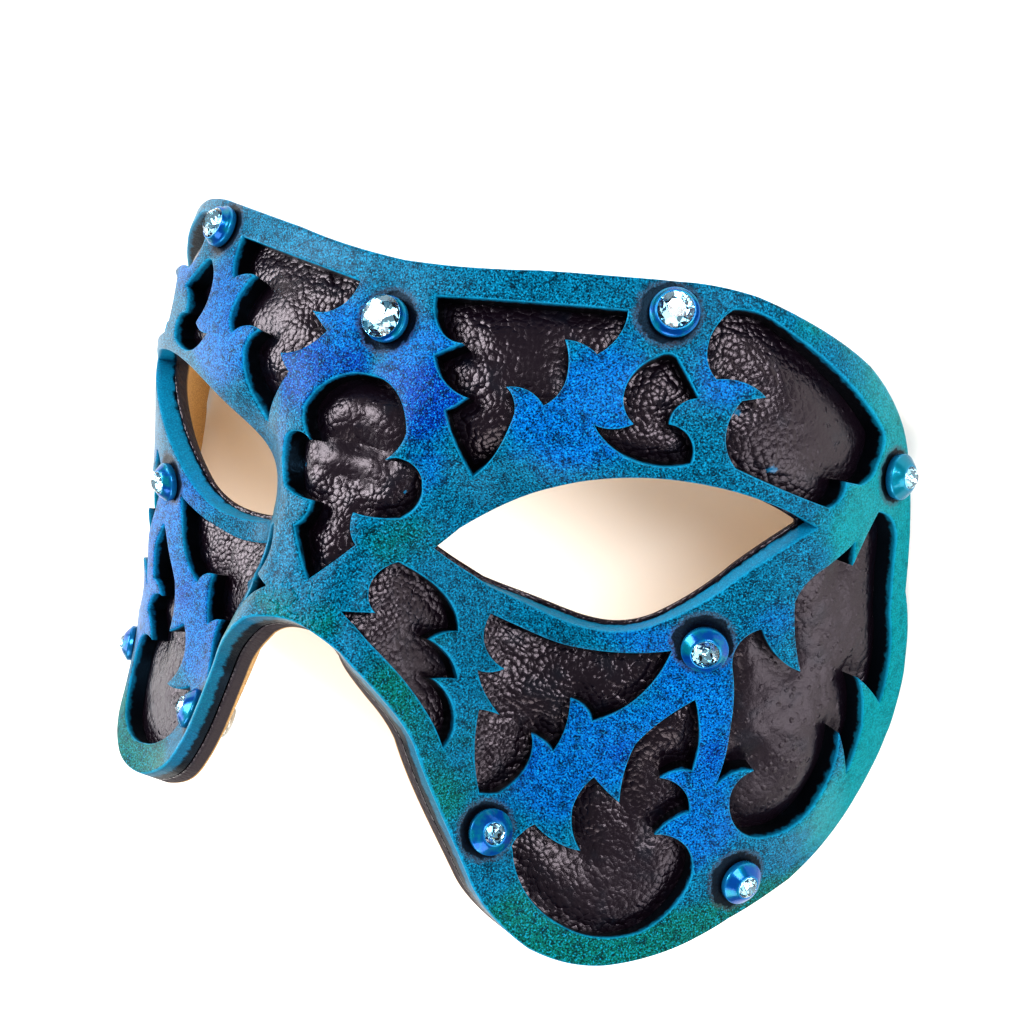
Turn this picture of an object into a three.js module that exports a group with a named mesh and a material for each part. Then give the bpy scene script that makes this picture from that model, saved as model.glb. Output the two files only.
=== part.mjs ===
// A half-face mask of two layers of shaped leather, lying face up on its two side rims.
// Millimetres. X runs to the wearer's left, Y to the forehead, +Z is up and out of the face.
import * as THREE from "three";

// Leather
const CARVED_THICKNESS = 3.2;
const BACKING_THICKNESS = 2.6;
const LAYER_GAP = 0.5;
const EYE_LIP = 0.5; // how far the backing shows inside each eye opening

// Face shape. Every height is measured from the flat plane through the centre rivet.
const FACE = {
  middleY: -30, // where the bridge line's terms are measured from
  unitY: 40, // length that the bridge line's terms are per
  bridge: [10.25, -19.8, 7.3, -1.4], // height, slope, bend and twist of the line down the nose
  halfWidth: 75, // half of the width that the wrap round the head is measured over
  wrap: [19.2, 1.2, 4.6], // round wrap at middleY, and its change with height
  turn: [9.7, 15.0, 15.0], // sharp turn at the temples at middleY, and its change with height
  turnPower: 9.9,
  noseDepth: 28.3, // how far the cheeks lie behind the nose
  noseTop: 1.7,
  noseRise: 56.2, // length over which the nose grows
  noseGrowth: 23.7, // further growth per unitY below that
  noseHalfWidth: 19.3,
  noseNarrowing: -5.0,
  nosePower: 3.4,
};
const BROW = { height: 6.9, x: 25.4, y: -14.6, spreadX: 21.4, spreadY: 14.7 };
const CHEEKBONE = { height: 5.05, x: 54.9, y: -36.1, spreadX: 23.3, spreadY: 23.3 };

// The flat pattern bends round the head: a place u along it lies at this x.
const WRAP_LIMIT = 86;
const WRAP_POWER = 5;

// How the finished mask settles on the floor
const LIE_PITCH_DEG = -3.7;

// Rivets and the crystals set in them
const HEAD_RADIUS = 3.75;
const HEAD_EDGE_HEIGHT = 1.05;
const HEAD_HEIGHT = 1.4;
const HEAD_BEVEL = 0.45;
const CUP_HEIGHT = 2.4;
const CUP_LIP = 0.25;
const CUP_FLARE = 0.8;
const SHANK_RADIUS = 1.3;
const HOLE_RADIUS = 1.8;
const CAP_RADIUS = 3;
const CAP_THICKNESS = 0.9;
const SEAT_GAP = 0.3;
const CRYSTAL_GIRDLE = 0.35;
const CRYSTAL_CROWN = 0.8;
const CRYSTAL_TABLE = 0.6; // of its radius
const CRYSTAL_FOOT = 0.85; // of its radius
const RIVET_SIDES = 10;
const CRYSTAL_SIDES = 8;
const RIVETS = [
  { name: "centre", u: 0, y: 0, crystal: 3.4 },
  { name: "forehead", u: 42.8, y: 8.0, crystal: 2.7 },
  { name: "temple", u: 85.3, y: -14.2, crystal: 1.8 },
  { name: "under_eye", u: 56.7, y: -42.5, crystal: 2.15 },
  { name: "inner_cheek", u: 31.2, y: -76.6, crystal: 1.75 },
  { name: "outer_cheek", u: 72.0, y: -82.2, crystal: 1.8 },
];

// Mesh fineness
// Each zone of the flat pattern has its own step: the nose bends most, so it is cut finest.
const ZONES = [{ from: 0, to: 40, step: 4 }, { from: 40, to: 120, step: 7.5 }];
const OUTLINE_STEP_SHARE = 0.8; // of the zone's step
const MAX_TURN = THREE.MathUtils.degToRad(36);
const LATTICE_MARGIN = 0.4; // of the zone's step
const PATTERN_TOP = 20;
const PATTERN_FOOT = -100;

// Outlines on the flat pattern, right half, clockwise seen from the front.
// Each corner is [u, y, bow]: bow is how far the arc to the next corner bulges to the left of the way.
const RIM = [
  [0, 9.3, -0.3], [22.2, 11.2, 0.1], [43, 12.6, 0.35], [53.6, 11.8, 0.85], [73, 3, 0.9],
  [87.2, -12, 0.4], [99.3, -33.5, 0.5], [110.8, -46, 1.9], [112, -58, 0.3], [98.7, -72.7, 0.9],
  [82.4, -85.7, 0], [71.9, -89, 0.8], [53.8, -94.4, 0.6], [42, -93, 1.1], [31.4, -83.6, 0.4],
  [20.5, -61.5, -1], [9.3, -47.3, -0.6], [0, -44.8, 0],
];
const EYE = [
  [15.6, -32.5, 0], [18, -29.3, 1], [35.9, -17.8, 0.55], [49, -15.5, 1.5], [72, -21.3, -0.3],
  [60.5, -30, 0.5], [47.4, -40.6, 0.7], [37, -43.5, 1.3], [21.9, -39, 0.1],
];
// The window over the nose crosses the middle line, so this is its right half.
const NOSE_WINDOW = [
  [0, -8.4, 2.2], [9.6, -15, 0.55], [7.1, -19.5, 0.3], [10, -18.9, 1], [13.3, -22.6, 0.9],
  [11.2, -27.9, 0.15], [3.9, -28.2, -0.7], [5.9, -32.6, 0.1], [0, -39, 0],
];
const BROW_WINDOW = [
  [7, 4.9, 0.3], [36.4, 7.5, 1], [34.3, 1, -0.45], [29.1, 2.3, 0.45], [31.3, -3, 0.6],
  [29.3, -7.1, -0.95], [23.1, -5.5, 0.55], [25.4, -9, 1.1], [19.7, -20.3, -0.1],
  [14.7, -10.6, -0.2], [17.5, -8.1, 1], [10, -3.3, 0], [14, -0.8, 1.9],
];
const CRESCENT_WINDOW = [
  [42.6, 2, 0.4], [45, 2.2, 0.1], [49.7, -3.1, -1.1], [46.7, -7.3, 1.6], [50.8, -12.7, 2.6],
  [36.9, -8.8, -0.65], [42, -7.9, 2.7],
];
const TEMPLE_WINDOW = [
  [50.8, 9.7, 0.55], [57.4, 8.4, 1.1], [79.6, -7, 0.5], [80.2, -12, 0.7], [78.2, -14.8, 0],
  [75.2, -14.2, 0.85], [73.4, -18.2, 0.1], [57.2, -12.7, 1.75], [55.8, -2.8, 0],
  [59, -2, -0.9], [51.4, -0.2, 2.4],
];
const CHEEK_WINDOW = [
  [83.6, -19.5, 1.1], [90.5, -24.6, -0.4], [96, -37.6, 0.9], [102.3, -49.5, 0.15],
  [101.9, -52.4, -0.1], [90, -47.2, 0.8], [96.5, -56, 0.65], [93.7, -65.4, -0.5],
  [88.8, -56.5, 1.5], [86.6, -68.8, 1.9], [75.5, -74.9, 2.4], [66.8, -67.2, 1],
  [70.2, -62.3, -1.2], [63.7, -65.4, -1.4], [62.1, -45.5, 1.8], [65.8, -38.4, -1.25],
  [74.8, -45.4, 0.65], [70.8, -33.4, 0.7], [74.9, -28.1, -0.1], [80.1, -23.9, 0],
  [80.9, -27.8, 0.15],
];
const UNDER_EYE_WINDOW = [
  [22.9, -43.5, -1], [35, -47.1, -0.55], [51.5, -44, 1.9], [41.6, -57.6, -0.8],
  [37.3, -54.7, 0.7], [36.5, -63.9, -0.35], [32.7, -61.7, 1.5], [30.8, -71.1, 0.1],
  [28.6, -70.8, 0.5], [25.4, -57.9, 0.05], [27.9, -59, 0.3], [23.6, -51.9, -0.5],
  [26.6, -52, 1.5],
];
const LOWER_WINDOW = [
  [57.1, -51.1, 0.35], [59.4, -57.5, 0.15], [59.2, -63, -0.7], [54.2, -64.9, 1.55],
  [60.3, -70, -0.6], [55.5, -74.3, 2.4], [63.4, -80.8, 1.4], [57.5, -89.5, 1.1],
  [45, -89.2, 1.8], [34.8, -79, 0.45], [36.8, -75.6, -0.7], [44.7, -78.4, 0.65],
  [41.7, -72.2, 0.5], [43.8, -66.7, -0.15], [48.7, -70, 0.6], [49.2, -59.9, 0.6],
];
const NOSTRIL_WINDOW = [
  [12.2, -34.5, 1.4], [20.2, -45.8, -0.45], [17.8, -46.5, 0.45], [22, -52.9, -0.1],
  [19.6, -52.3, 0.75], [23.5, -60.5, 0.1], [23.3, -63.1, -1.35], [9.7, -43.6, 0],
  [7.3, -41.9, 0.1], [11.6, -41.9, 0.4], [9.8, -38.1, 0.7],
];
const SIDE_WINDOWS = [
  BROW_WINDOW, CRESCENT_WINDOW, TEMPLE_WINDOW, CHEEK_WINDOW, UNDER_EYE_WINDOW, LOWER_WINDOW,
  NOSTRIL_WINDOW,
];

// Finishes
const carvedLeather = new THREE.MeshStandardMaterial({
  name: "blue_teal_leather", color: 0x1279a8, roughness: 0.42, metalness: 0, flatShading: true,
});
const backingLeather = new THREE.MeshStandardMaterial({
  name: "black_leather", color: 0x1c1a1d, roughness: 0.35, metalness: 0, flatShading: true,
});
const paintedMetal = new THREE.MeshStandardMaterial({
  name: "blue_painted_metal", color: 0x0b4f86, roughness: 0.22, metalness: 0.4, flatShading: true,
});
const crystalGlass = new THREE.MeshStandardMaterial({
  name: "clear_crystal", color: 0xbfe3f2, roughness: 0.04, metalness: 0, flatShading: true,
  transparent: true, opacity: 0.45,
});

// The face surface: height of the carved layer's front over the point (x, y)
function polynomial(terms, t) {
  return terms.reduceRight((sum, term) => sum * t + term, 0);
}

function smoothStep(t) {
  const s = THREE.MathUtils.clamp(t, 0, 1);
  return s * s * (3 - 2 * s);
}

function bump(shape, x, y) {
  const dx = (x - shape.x) / shape.spreadX;
  const dy = (y - shape.y) / shape.spreadY;
  return shape.height * Math.exp(-dx * dx - dy * dy);
}

function faceHeight(x, y) {
  const side = Math.abs(x);
  const t = (y - FACE.middleY) / FACE.unitY;
  const s = side / FACE.halfWidth;
  const wrap = polynomial(FACE.wrap, t) * s * s + polynomial(FACE.turn, t) * s ** FACE.turnPower;
  const below = FACE.noseTop - y;
  const growth = Math.max(0, below - FACE.noseRise) / FACE.unitY;
  const depth = FACE.noseDepth * smoothStep(below / FACE.noseRise) + FACE.noseGrowth * growth;
  const noseWidth = FACE.noseHalfWidth + FACE.noseNarrowing * (y + FACE.unitY) / FACE.unitY;
  const nose = Math.exp(-((side / noseWidth) ** FACE.nosePower));
  const bumps = bump(BROW, side, y) + bump(CHEEKBONE, side, y);
  return polynomial(FACE.bridge, t) - wrap - depth * (1 - nose) + bumps;
}

function wrappedX(u) {
  const ratio = Math.abs(u) / WRAP_LIMIT;
  return u / (1 + ratio ** WRAP_POWER) ** (1 / WRAP_POWER);
}

function facePoint(u, y) {
  const x = wrappedX(u);
  return new THREE.Vector3(x, y, faceHeight(x, y));
}

function faceNormal(u, y) {
  const step = 0.05;
  const x = wrappedX(u);
  const slopeX = (faceHeight(x + step, y) - faceHeight(x - step, y)) / (2 * step);
  const slopeY = (faceHeight(x, y + step) - faceHeight(x, y - step)) / (2 * step);
  return new THREE.Vector3(-slopeX, -slopeY, 1).normalize();
}

function leatherPoint(u, y, depth) {
  return facePoint(u, y).addScaledVector(faceNormal(u, y), -depth);
}

// Outlines: arcs cut into short steps
function arcPoints([u0, y0, bow], [u1, y1]) {
  const chord = Math.hypot(u1 - u0, y1 - y0);
  const turn = 4 * Math.atan((2 * Math.abs(bow)) / chord);
  const longest = OUTLINE_STEP_SHARE * ZONES.find((zone) => (u0 + u1) / 2 <= zone.to).step;
  const steps = Math.max(1, Math.ceil(chord / longest), Math.ceil(turn / MAX_TURN));
  const left = [-(y1 - y0) / chord, (u1 - u0) / chord];
  const points = [];
  for (let i = 0; i < steps; i += 1) {
    const along = steps === 1 ? 0 : i / steps;
    const rise = arcRise(along, chord, bow);
    points.push([u0 + (u1 - u0) * along + left[0] * rise, y0 + (y1 - y0) * along + left[1] * rise]);
  }
  return points;
}

function arcRise(along, chord, bow) {
  if (bow === 0) {
    return 0;
  }
  const radius = (chord * chord / 4 + bow * bow) / (2 * Math.abs(bow));
  const offset = (along - 0.5) * chord;
  const rise = Math.sqrt(radius * radius - offset * offset) - (radius - Math.abs(bow));
  return Math.sign(bow) * rise;
}

function openPath(corners) {
  const points = corners.slice(0, -1).flatMap((corner, i) => arcPoints(corner, corners[i + 1]));
  return [...points, corners.at(-1).slice(0, 2)];
}

function closedPath(corners) {
  return openPath([...corners, corners[0]]).slice(0, -1);
}

function straightPath(from, to) {
  return openPath([[...from, 0], [...to, 0]]);
}

function circlePath(centre, radius, sides, sweep = 2 * Math.PI) {
  const whole = sweep === 2 * Math.PI;
  return Array.from({ length: whole ? sides : sides + 1 }, (_, i) => {
    const angle = Math.PI / 2 - (sweep * i) / sides;
    return [centre[0] + radius * Math.cos(angle), centre[1] + radius * Math.sin(angle)];
  });
}

function insetPath(points, distance) {
  return points.map((point, i) => {
    const before = points.at(i - 1);
    const after = points[(i + 1) % points.length];
    const way = [after[0] - before[0], after[1] - before[1]];
    const length = Math.hypot(...way);
    return [point[0] + (way[1] / length) * distance, point[1] - (way[0] / length) * distance];
  });
}

// Triangulation of the flat pattern
function insidePath(path, [u, y]) {
  let inside = false;
  for (let i = 0, j = path.length - 1; i < path.length; j = i, i += 1) {
    const [ui, yi] = path[i];
    const [uj, yj] = path[j];
    if (yi > y !== yj > y && u < ((uj - ui) * (y - yi)) / (yj - yi) + ui) {
      inside = !inside;
    }
  }
  return inside;
}

function distanceToPath(path, [u, y]) {
  let nearest = Infinity;
  for (let i = 0, j = path.length - 1; i < path.length; j = i, i += 1) {
    const [uj, yj] = path[j];
    const along = [path[i][0] - uj, path[i][1] - yj];
    const dot = (u - uj) * along[0] + (y - yj) * along[1];
    const t = THREE.MathUtils.clamp(dot / (along[0] ** 2 + along[1] ** 2), 0, 1);
    nearest = Math.min(nearest, Math.hypot(uj + along[0] * t - u, yj + along[1] * t - y));
  }
  return nearest;
}

function isInRegion(region, point) {
  return insidePath(region.outer, point) && !region.holes.some((hole) => insidePath(hole, point));
}

function latticePoints(region) {
  const paths = [region.outer, ...region.holes];
  return ZONES.flatMap(({ from, to, step }) => {
    const points = [];
    const rowHeight = (step * Math.sqrt(3)) / 2;
    for (let row = 0, y = PATTERN_TOP; y > PATTERN_FOOT; row += 1, y -= rowHeight) {
      for (let u = from + ((row % 2) * step) / 2; u < to; u += step) {
        const point = [u, y + 0.01 * Math.sin(u)];
        const margin = LATTICE_MARGIN * step;
        if (isInRegion(region, point) && paths.every((path) => distanceToPath(path, point) > margin)) {
          points.push(point);
        }
      }
    }
    return points;
  });
}

function circumcircle(a, b, c) {
  const [bu, by] = [b[0] - a[0], b[1] - a[1]];
  const [cu, cy] = [c[0] - a[0], c[1] - a[1]];
  const area = 2 * (bu * cy - by * cu);
  const bb = bu * bu + by * by;
  const cc = cu * cu + cy * cy;
  const u = (cy * bb - by * cc) / area;
  const y = (bu * cc - cu * bb) / area;
  return { u: a[0] + u, y: a[1] + y, r2: u * u + y * y };
}

// Delaunay triangulation by adding one point at a time
function delaunay(points) {
  const far = 1e4;
  const all = [...points, [-far, -far], [far, -far], [0, far]];
  const n = points.length;
  const triangle = (a, b, c) => ({ corners: [a, b, c], circle: circumcircle(all[a], all[b], all[c]) });
  let triangles = [triangle(n, n + 1, n + 2)];
  points.forEach(([u, y], p) => {
    const kept = [];
    const edges = new Map();
    for (const t of triangles) {
      if ((u - t.circle.u) ** 2 + (y - t.circle.y) ** 2 >= t.circle.r2) {
        kept.push(t);
        continue;
      }
      t.corners.forEach((a, i) => {
        const b = t.corners[(i + 1) % 3];
        if (!edges.delete(`${b},${a}`)) {
          edges.set(`${a},${b}`, [a, b]);
        }
      });
    }
    triangles = [...kept, ...[...edges.values()].map(([a, b]) => triangle(a, b, p))];
  });
  return triangles.map((t) => t.corners).filter((corners) => Math.max(...corners) < n);
}

// Splits outline steps until each one is an edge of the triangulation, then keeps the leather
function triangulate(region) {
  const inner = latticePoints(region);
  let paths = [region.outer, ...region.holes];
  for (;;) {
    const points = [...paths.flat(), ...inner];
    const triangles = delaunay(points);
    const edges = new Set();
    for (const t of triangles) {
      t.forEach((a, i) => edges.add(`${a},${t[(i + 1) % 3]}`).add(`${t[(i + 1) % 3]},${a}`));
    }
    let start = 0;
    let missing = 0;
    const refined = paths.map((path) => {
      const first = start;
      start += path.length;
      return path.flatMap((point, i) => {
        const next = (i + 1) % path.length;
        if (edges.has(`${first + i},${first + next}`)) {
          return [point];
        }
        missing += 1;
        return [point, [(point[0] + path[next][0]) / 2, (point[1] + path[next][1]) / 2]];
      });
    });
    if (missing === 0) {
      const middle = (t, k) => (points[t[0]][k] + points[t[1]][k] + points[t[2]][k]) / 3;
      const kept = triangles.filter((t) => isInRegion(region, [middle(t, 0), middle(t, 1)]));
      return { points, triangles: kept };
    }
    paths = refined;
  }
}

// A closed leather solid between two depths under the face surface
function leatherSolid(region, frontDepth, backDepth) {
  const half = triangulate(region);
  const index = new Map();
  const pattern = [];
  const place = ([u, y]) => {
    const key = `${Math.round(u * 1e4)},${Math.round(y * 1e4)}`;
    if (!index.has(key)) {
      index.set(key, pattern.push([u, y]) - 1);
    }
    return index.get(key);
  };
  const right = half.triangles.map((t) => t.map((i) => place(half.points[i])));
  const left = half.triangles.map(([a, b, c]) => [a, c, b].map((i) => {
    const [u, y] = half.points[i];
    return place([u === 0 ? 0 : -u, y]);
  }));
  const front = [...right, ...left];
  const n = pattern.length;
  const open = new Map();
  for (const t of front) {
    t.forEach((a, i) => {
      const b = t[(i + 1) % 3];
      if (!open.delete(`${b},${a}`)) {
        open.set(`${a},${b}`, [a, b]);
      }
    });
  }
  const back = front.map(([a, b, c]) => [a + n, c + n, b + n]);
  const walls = [...open.values()].flatMap(([a, b]) => [[a, a + n, b + n], [a, b + n, b]]);
  const vertices = [
    ...pattern.map(([u, y]) => leatherPoint(u, y, frontDepth)),
    ...pattern.map(([u, y]) => leatherPoint(u, y, backDepth)),
  ];
  return meshGeometry(vertices, [...front, ...back, ...walls]);
}

function meshGeometry(vertices, triangles) {
  const geometry = new THREE.BufferGeometry().setFromPoints(vertices);
  geometry.setIndex(triangles.flat());
  geometry.computeVertexNormals();
  return geometry;
}

// A closed turned solid: rings of [radius, height] from its foot to its top
function turnedGeometry(rings, sides) {
  const vertices = [new THREE.Vector3(0, 0, rings[0][1])];
  for (const [radius, height] of rings) {
    for (let i = 0; i < sides; i += 1) {
      const angle = (2 * Math.PI * i) / sides;
      vertices.push(new THREE.Vector3(radius * Math.cos(angle), radius * Math.sin(angle), height));
    }
  }
  vertices.push(new THREE.Vector3(0, 0, rings.at(-1)[1]));
  const at = (ring, i) => 1 + ring * sides + (i % sides);
  const triangles = [];
  for (let i = 0; i < sides; i += 1) {
    triangles.push([0, at(0, i + 1), at(0, i)]);
    triangles.push([vertices.length - 1, at(rings.length - 1, i), at(rings.length - 1, i + 1)]);
    for (let ring = 0; ring < rings.length - 1; ring += 1) {
      triangles.push([at(ring, i), at(ring, i + 1), at(ring + 1, i + 1)]);
      triangles.push([at(ring, i), at(ring + 1, i + 1), at(ring + 1, i)]);
    }
  }
  return meshGeometry(vertices, triangles);
}

function rivetGeometry(crystalRadius) {
  const leather = CARVED_THICKNESS + LAYER_GAP + BACKING_THICKNESS;
  const capTop = -leather - LAYER_GAP;
  const cupRadius = crystalRadius + CUP_LIP;
  const cupFoot = Math.min(cupRadius + CUP_FLARE, HEAD_RADIUS - HEAD_BEVEL);
  return turnedGeometry([
    [CAP_RADIUS, capTop - CAP_THICKNESS],
    [CAP_RADIUS, capTop],
    [SHANK_RADIUS, capTop],
    [SHANK_RADIUS, LAYER_GAP],
    [HEAD_RADIUS, LAYER_GAP],
    [HEAD_RADIUS, HEAD_EDGE_HEIGHT],
    [cupFoot, HEAD_HEIGHT],
    [Math.min(cupRadius, cupFoot), CUP_HEIGHT],
  ], RIVET_SIDES);
}

function crystalGeometry(radius) {
  const foot = CUP_HEIGHT + SEAT_GAP;
  return turnedGeometry([
    [radius * CRYSTAL_FOOT, foot],
    [radius, foot + CRYSTAL_GIRDLE],
    [radius * CRYSTAL_TABLE, foot + CRYSTAL_GIRDLE + CRYSTAL_CROWN],
  ], CRYSTAL_SIDES);
}

// Stands a turned solid on the face surface at (u, y), its axis along the surface's normal
function standOnFace(geometry, u, y) {
  const out = faceNormal(u, y);
  const along = new THREE.Vector3(1, 0, 0).cross(out).cross(out).negate().normalize();
  const across = out.clone().cross(along);
  const place = new THREE.Matrix4().makeBasis(along, across, out).setPosition(facePoint(u, y));
  return geometry.applyMatrix4(place);
}

// Regions of the flat pattern's right half
const rim = openPath(RIM);
const rimTop = [0, RIM[0][1]];
const rimFoot = [0, RIM.at(-1)[1]];
const centreHole = circlePath([0, 0], HOLE_RADIUS, 5, Math.PI);
const centreHoleUp = [...centreHole].reverse();
const aboveHole = straightPath([0, HOLE_RADIUS], rimTop).slice(1, -1);
const noseWindow = openPath(NOSE_WINDOW);
const windowTop = noseWindow[0];
const windowFoot = noseWindow.at(-1);
const rivetHoles = RIVETS.filter((r) => r.u > 0).map((r) => circlePath([r.u, r.y], HOLE_RADIUS, 8));
const eye = closedPath(EYE);
const carvedRegion = {
  outer: [
    ...rim,
    ...straightPath(rimFoot, windowFoot).slice(1, -1),
    ...[...noseWindow].reverse(),
    ...straightPath(windowTop, [0, -HOLE_RADIUS]).slice(1, -1),
    ...centreHoleUp,
    ...aboveHole,
  ],
  holes: [eye, ...SIDE_WINDOWS.map(closedPath), ...rivetHoles],
};
const backingRegion = {
  outer: [...rim, ...straightPath(rimFoot, [0, -HOLE_RADIUS]).slice(1, -1), ...centreHoleUp, ...aboveHole],
  holes: [insetPath(eye, EYE_LIP), ...rivetHoles],
};

// Pieces
const pieces = [];
const addPiece = (name, geometry, material) => {
  const mesh = new THREE.Mesh(geometry, material);
  mesh.name = name;
  pieces.push(mesh);
};
const backingFront = CARVED_THICKNESS + LAYER_GAP;
addPiece("carved_layer", leatherSolid(carvedRegion, 0, CARVED_THICKNESS), carvedLeather);
addPiece(
  "backing_layer",
  leatherSolid(backingRegion, backingFront, backingFront + BACKING_THICKNESS),
  backingLeather,
);
for (const { name, u, y, crystal } of RIVETS) {
  const sides = u === 0 ? [["", 0]] : [["_left", u], ["_right", -u]];
  for (const [suffix, place] of sides) {
    addPiece(`rivet_${name}${suffix}`, standOnFace(rivetGeometry(crystal), place, y), paintedMetal);
    addPiece(`crystal_${name}${suffix}`, standOnFace(crystalGeometry(crystal), place, y), crystalGlass);
  }
}

// Lays the mask down: turned by its resting pitch, then middle over the origin and rims on the floor
const lay = new THREE.Matrix4().makeRotationX(THREE.MathUtils.degToRad(LIE_PITCH_DEG));
const box = new THREE.Box3();
for (const { geometry } of pieces) {
  geometry.applyMatrix4(lay);
  geometry.computeBoundingBox();
  box.union(geometry.boundingBox);
}
const mask = new THREE.Group();
mask.name = "leather_mask";
for (const piece of pieces) {
  piece.geometry.translate(0, -(box.min.y + box.max.y) / 2, -box.min.z);
  mask.add(piece);
}

export default mask;
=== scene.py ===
"""A half-face mask of blue-green leather cut through over padded black leather.

The carved front layer, the backing behind it, and the rivets with their crystals are surfaces
worked out from named sizes, on the same face form and the same cutting pattern as the solids.
Sizes are millimetres in the pattern; the meshes are metres.
"""

import logging
import math
from dataclasses import dataclass, field, replace
from enum import Enum
from functools import cached_property

import bpy
import numpy as np
from mathutils import Matrix, Vector
from mathutils.geometry import delaunay_2d_cdt
from numpy.polynomial.polynomial import polyval

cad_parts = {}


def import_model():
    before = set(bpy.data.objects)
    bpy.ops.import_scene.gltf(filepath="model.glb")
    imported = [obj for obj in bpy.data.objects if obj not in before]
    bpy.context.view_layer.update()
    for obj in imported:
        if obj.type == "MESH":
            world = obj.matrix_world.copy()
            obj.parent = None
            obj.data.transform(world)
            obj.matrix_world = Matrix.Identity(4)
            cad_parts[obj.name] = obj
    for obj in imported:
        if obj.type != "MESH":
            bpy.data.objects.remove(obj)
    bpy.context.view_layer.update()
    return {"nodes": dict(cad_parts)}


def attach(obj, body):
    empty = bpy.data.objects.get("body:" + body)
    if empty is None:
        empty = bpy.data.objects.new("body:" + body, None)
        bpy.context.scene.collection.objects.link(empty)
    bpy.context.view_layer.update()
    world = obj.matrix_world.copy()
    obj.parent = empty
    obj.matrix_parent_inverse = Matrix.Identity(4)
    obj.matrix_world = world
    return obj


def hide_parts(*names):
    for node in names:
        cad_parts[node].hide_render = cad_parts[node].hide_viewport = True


Array = np.ndarray
Socket = bpy.types.NodeSocket
Piece = bpy.types.Object

LOG = logging.getLogger("leather_mask")
MILLIMETRE = 0.001

# Where the worked-out face comes to rest: its pitch, and its middle's place over the floor
LIE_PITCH_DEG = -3.7
SETTLED_AT = (0.0, 42.720, 43.199)

# Outlines on the flat pattern, right half, clockwise seen from the front.
# Each corner is (u, y, bow): bow is how far the arc to the next corner bulges to the left.
Corner = tuple[float, float, float]
RIM = [
    (0, 9.3, -0.3), (22.2, 11.2, 0.1), (43, 12.6, 0.35), (53.6, 11.8, 0.85), (73, 3, 0.9),
    (87.2, -12, 0.4), (99.3, -33.5, 0.5), (110.8, -46, 1.9), (112, -58, 0.3), (98.7, -72.7, 0.9),
    (82.4, -85.7, 0), (71.9, -89, 0.8), (53.8, -94.4, 0.6), (42, -93, 1.1), (31.4, -83.6, 0.4),
    (20.5, -61.5, -1), (9.3, -47.3, -0.6), (0, -44.8, 0),
]
EYE = [
    (15.6, -32.5, 0), (18, -29.3, 1), (35.9, -17.8, 0.55), (49, -15.5, 1.5), (72, -21.3, -0.3),
    (60.5, -30, 0.5), (47.4, -40.6, 0.7), (37, -43.5, 1.3), (21.9, -39, 0.1),
]
NOSE_WINDOW = [
    (0, -8.4, 2.2), (9.6, -15, 0.55), (7.1, -19.5, 0.3), (10, -18.9, 1), (13.3, -22.6, 0.9),
    (11.2, -27.9, 0.15), (3.9, -28.2, -0.7), (5.9, -32.6, 0.1), (0, -39, 0),
]
BROW_WINDOW = [
    (7, 4.9, 0.3), (36.4, 7.5, 1), (34.3, 1, -0.45), (29.1, 2.3, 0.45), (31.3, -3, 0.6),
    (29.3, -7.1, -0.95), (23.1, -5.5, 0.55), (25.4, -9, 1.1), (19.7, -20.3, -0.1),
    (14.7, -10.6, -0.2), (17.5, -8.1, 1), (10, -3.3, 0), (14, -0.8, 1.9),
]
CRESCENT_WINDOW = [
    (42.6, 2, 0.4), (45, 2.2, 0.1), (49.7, -3.1, -1.1), (46.7, -7.3, 1.6), (50.8, -12.7, 2.6),
    (36.9, -8.8, -0.65), (42, -7.9, 2.7),
]
TEMPLE_WINDOW = [
    (50.8, 9.7, 0.55), (57.4, 8.4, 1.1), (79.6, -7, 0.5), (80.2, -12, 0.7), (78.2, -14.8, 0),
    (75.2, -14.2, 0.85), (73.4, -18.2, 0.1), (57.2, -12.7, 1.75), (55.8, -2.8, 0),
    (59, -2, -0.9), (51.4, -0.2, 2.4),
]
CHEEK_WINDOW = [
    (83.6, -19.5, 1.1), (90.5, -24.6, -0.4), (96, -37.6, 0.9), (102.3, -49.5, 0.15),
    (101.9, -52.4, -0.1), (90, -47.2, 0.8), (96.5, -56, 0.65), (93.7, -65.4, -0.5),
    (88.8, -56.5, 1.5), (86.6, -68.8, 1.9), (75.5, -74.9, 2.4), (66.8, -67.2, 1),
    (70.2, -62.3, -1.2), (63.7, -65.4, -1.4), (62.1, -45.5, 1.8), (65.8, -38.4, -1.25),
    (74.8, -45.4, 0.65), (70.8, -33.4, 0.7), (74.9, -28.1, -0.1), (80.1, -23.9, 0),
    (80.9, -27.8, 0.15),
]
UNDER_EYE_WINDOW = [
    (22.9, -43.5, -1), (35, -47.1, -0.55), (51.5, -44, 1.9), (41.6, -57.6, -0.8),
    (37.3, -54.7, 0.7), (36.5, -63.9, -0.35), (32.7, -61.7, 1.5), (30.8, -71.1, 0.1),
    (28.6, -70.8, 0.5), (25.4, -57.9, 0.05), (27.9, -59, 0.3), (23.6, -51.9, -0.5),
    (26.6, -52, 1.5),
]
LOWER_WINDOW = [
    (57.1, -51.1, 0.35), (59.4, -57.5, 0.15), (59.2, -63, -0.7), (54.2, -64.9, 1.55),
    (60.3, -70, -0.6), (55.5, -74.3, 2.4), (63.4, -80.8, 1.4), (57.5, -89.5, 1.1),
    (45, -89.2, 1.8), (34.8, -79, 0.45), (36.8, -75.6, -0.7), (44.7, -78.4, 0.65),
    (41.7, -72.2, 0.5), (43.8, -66.7, -0.15), (48.7, -70, 0.6), (49.2, -59.9, 0.6),
]
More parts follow.
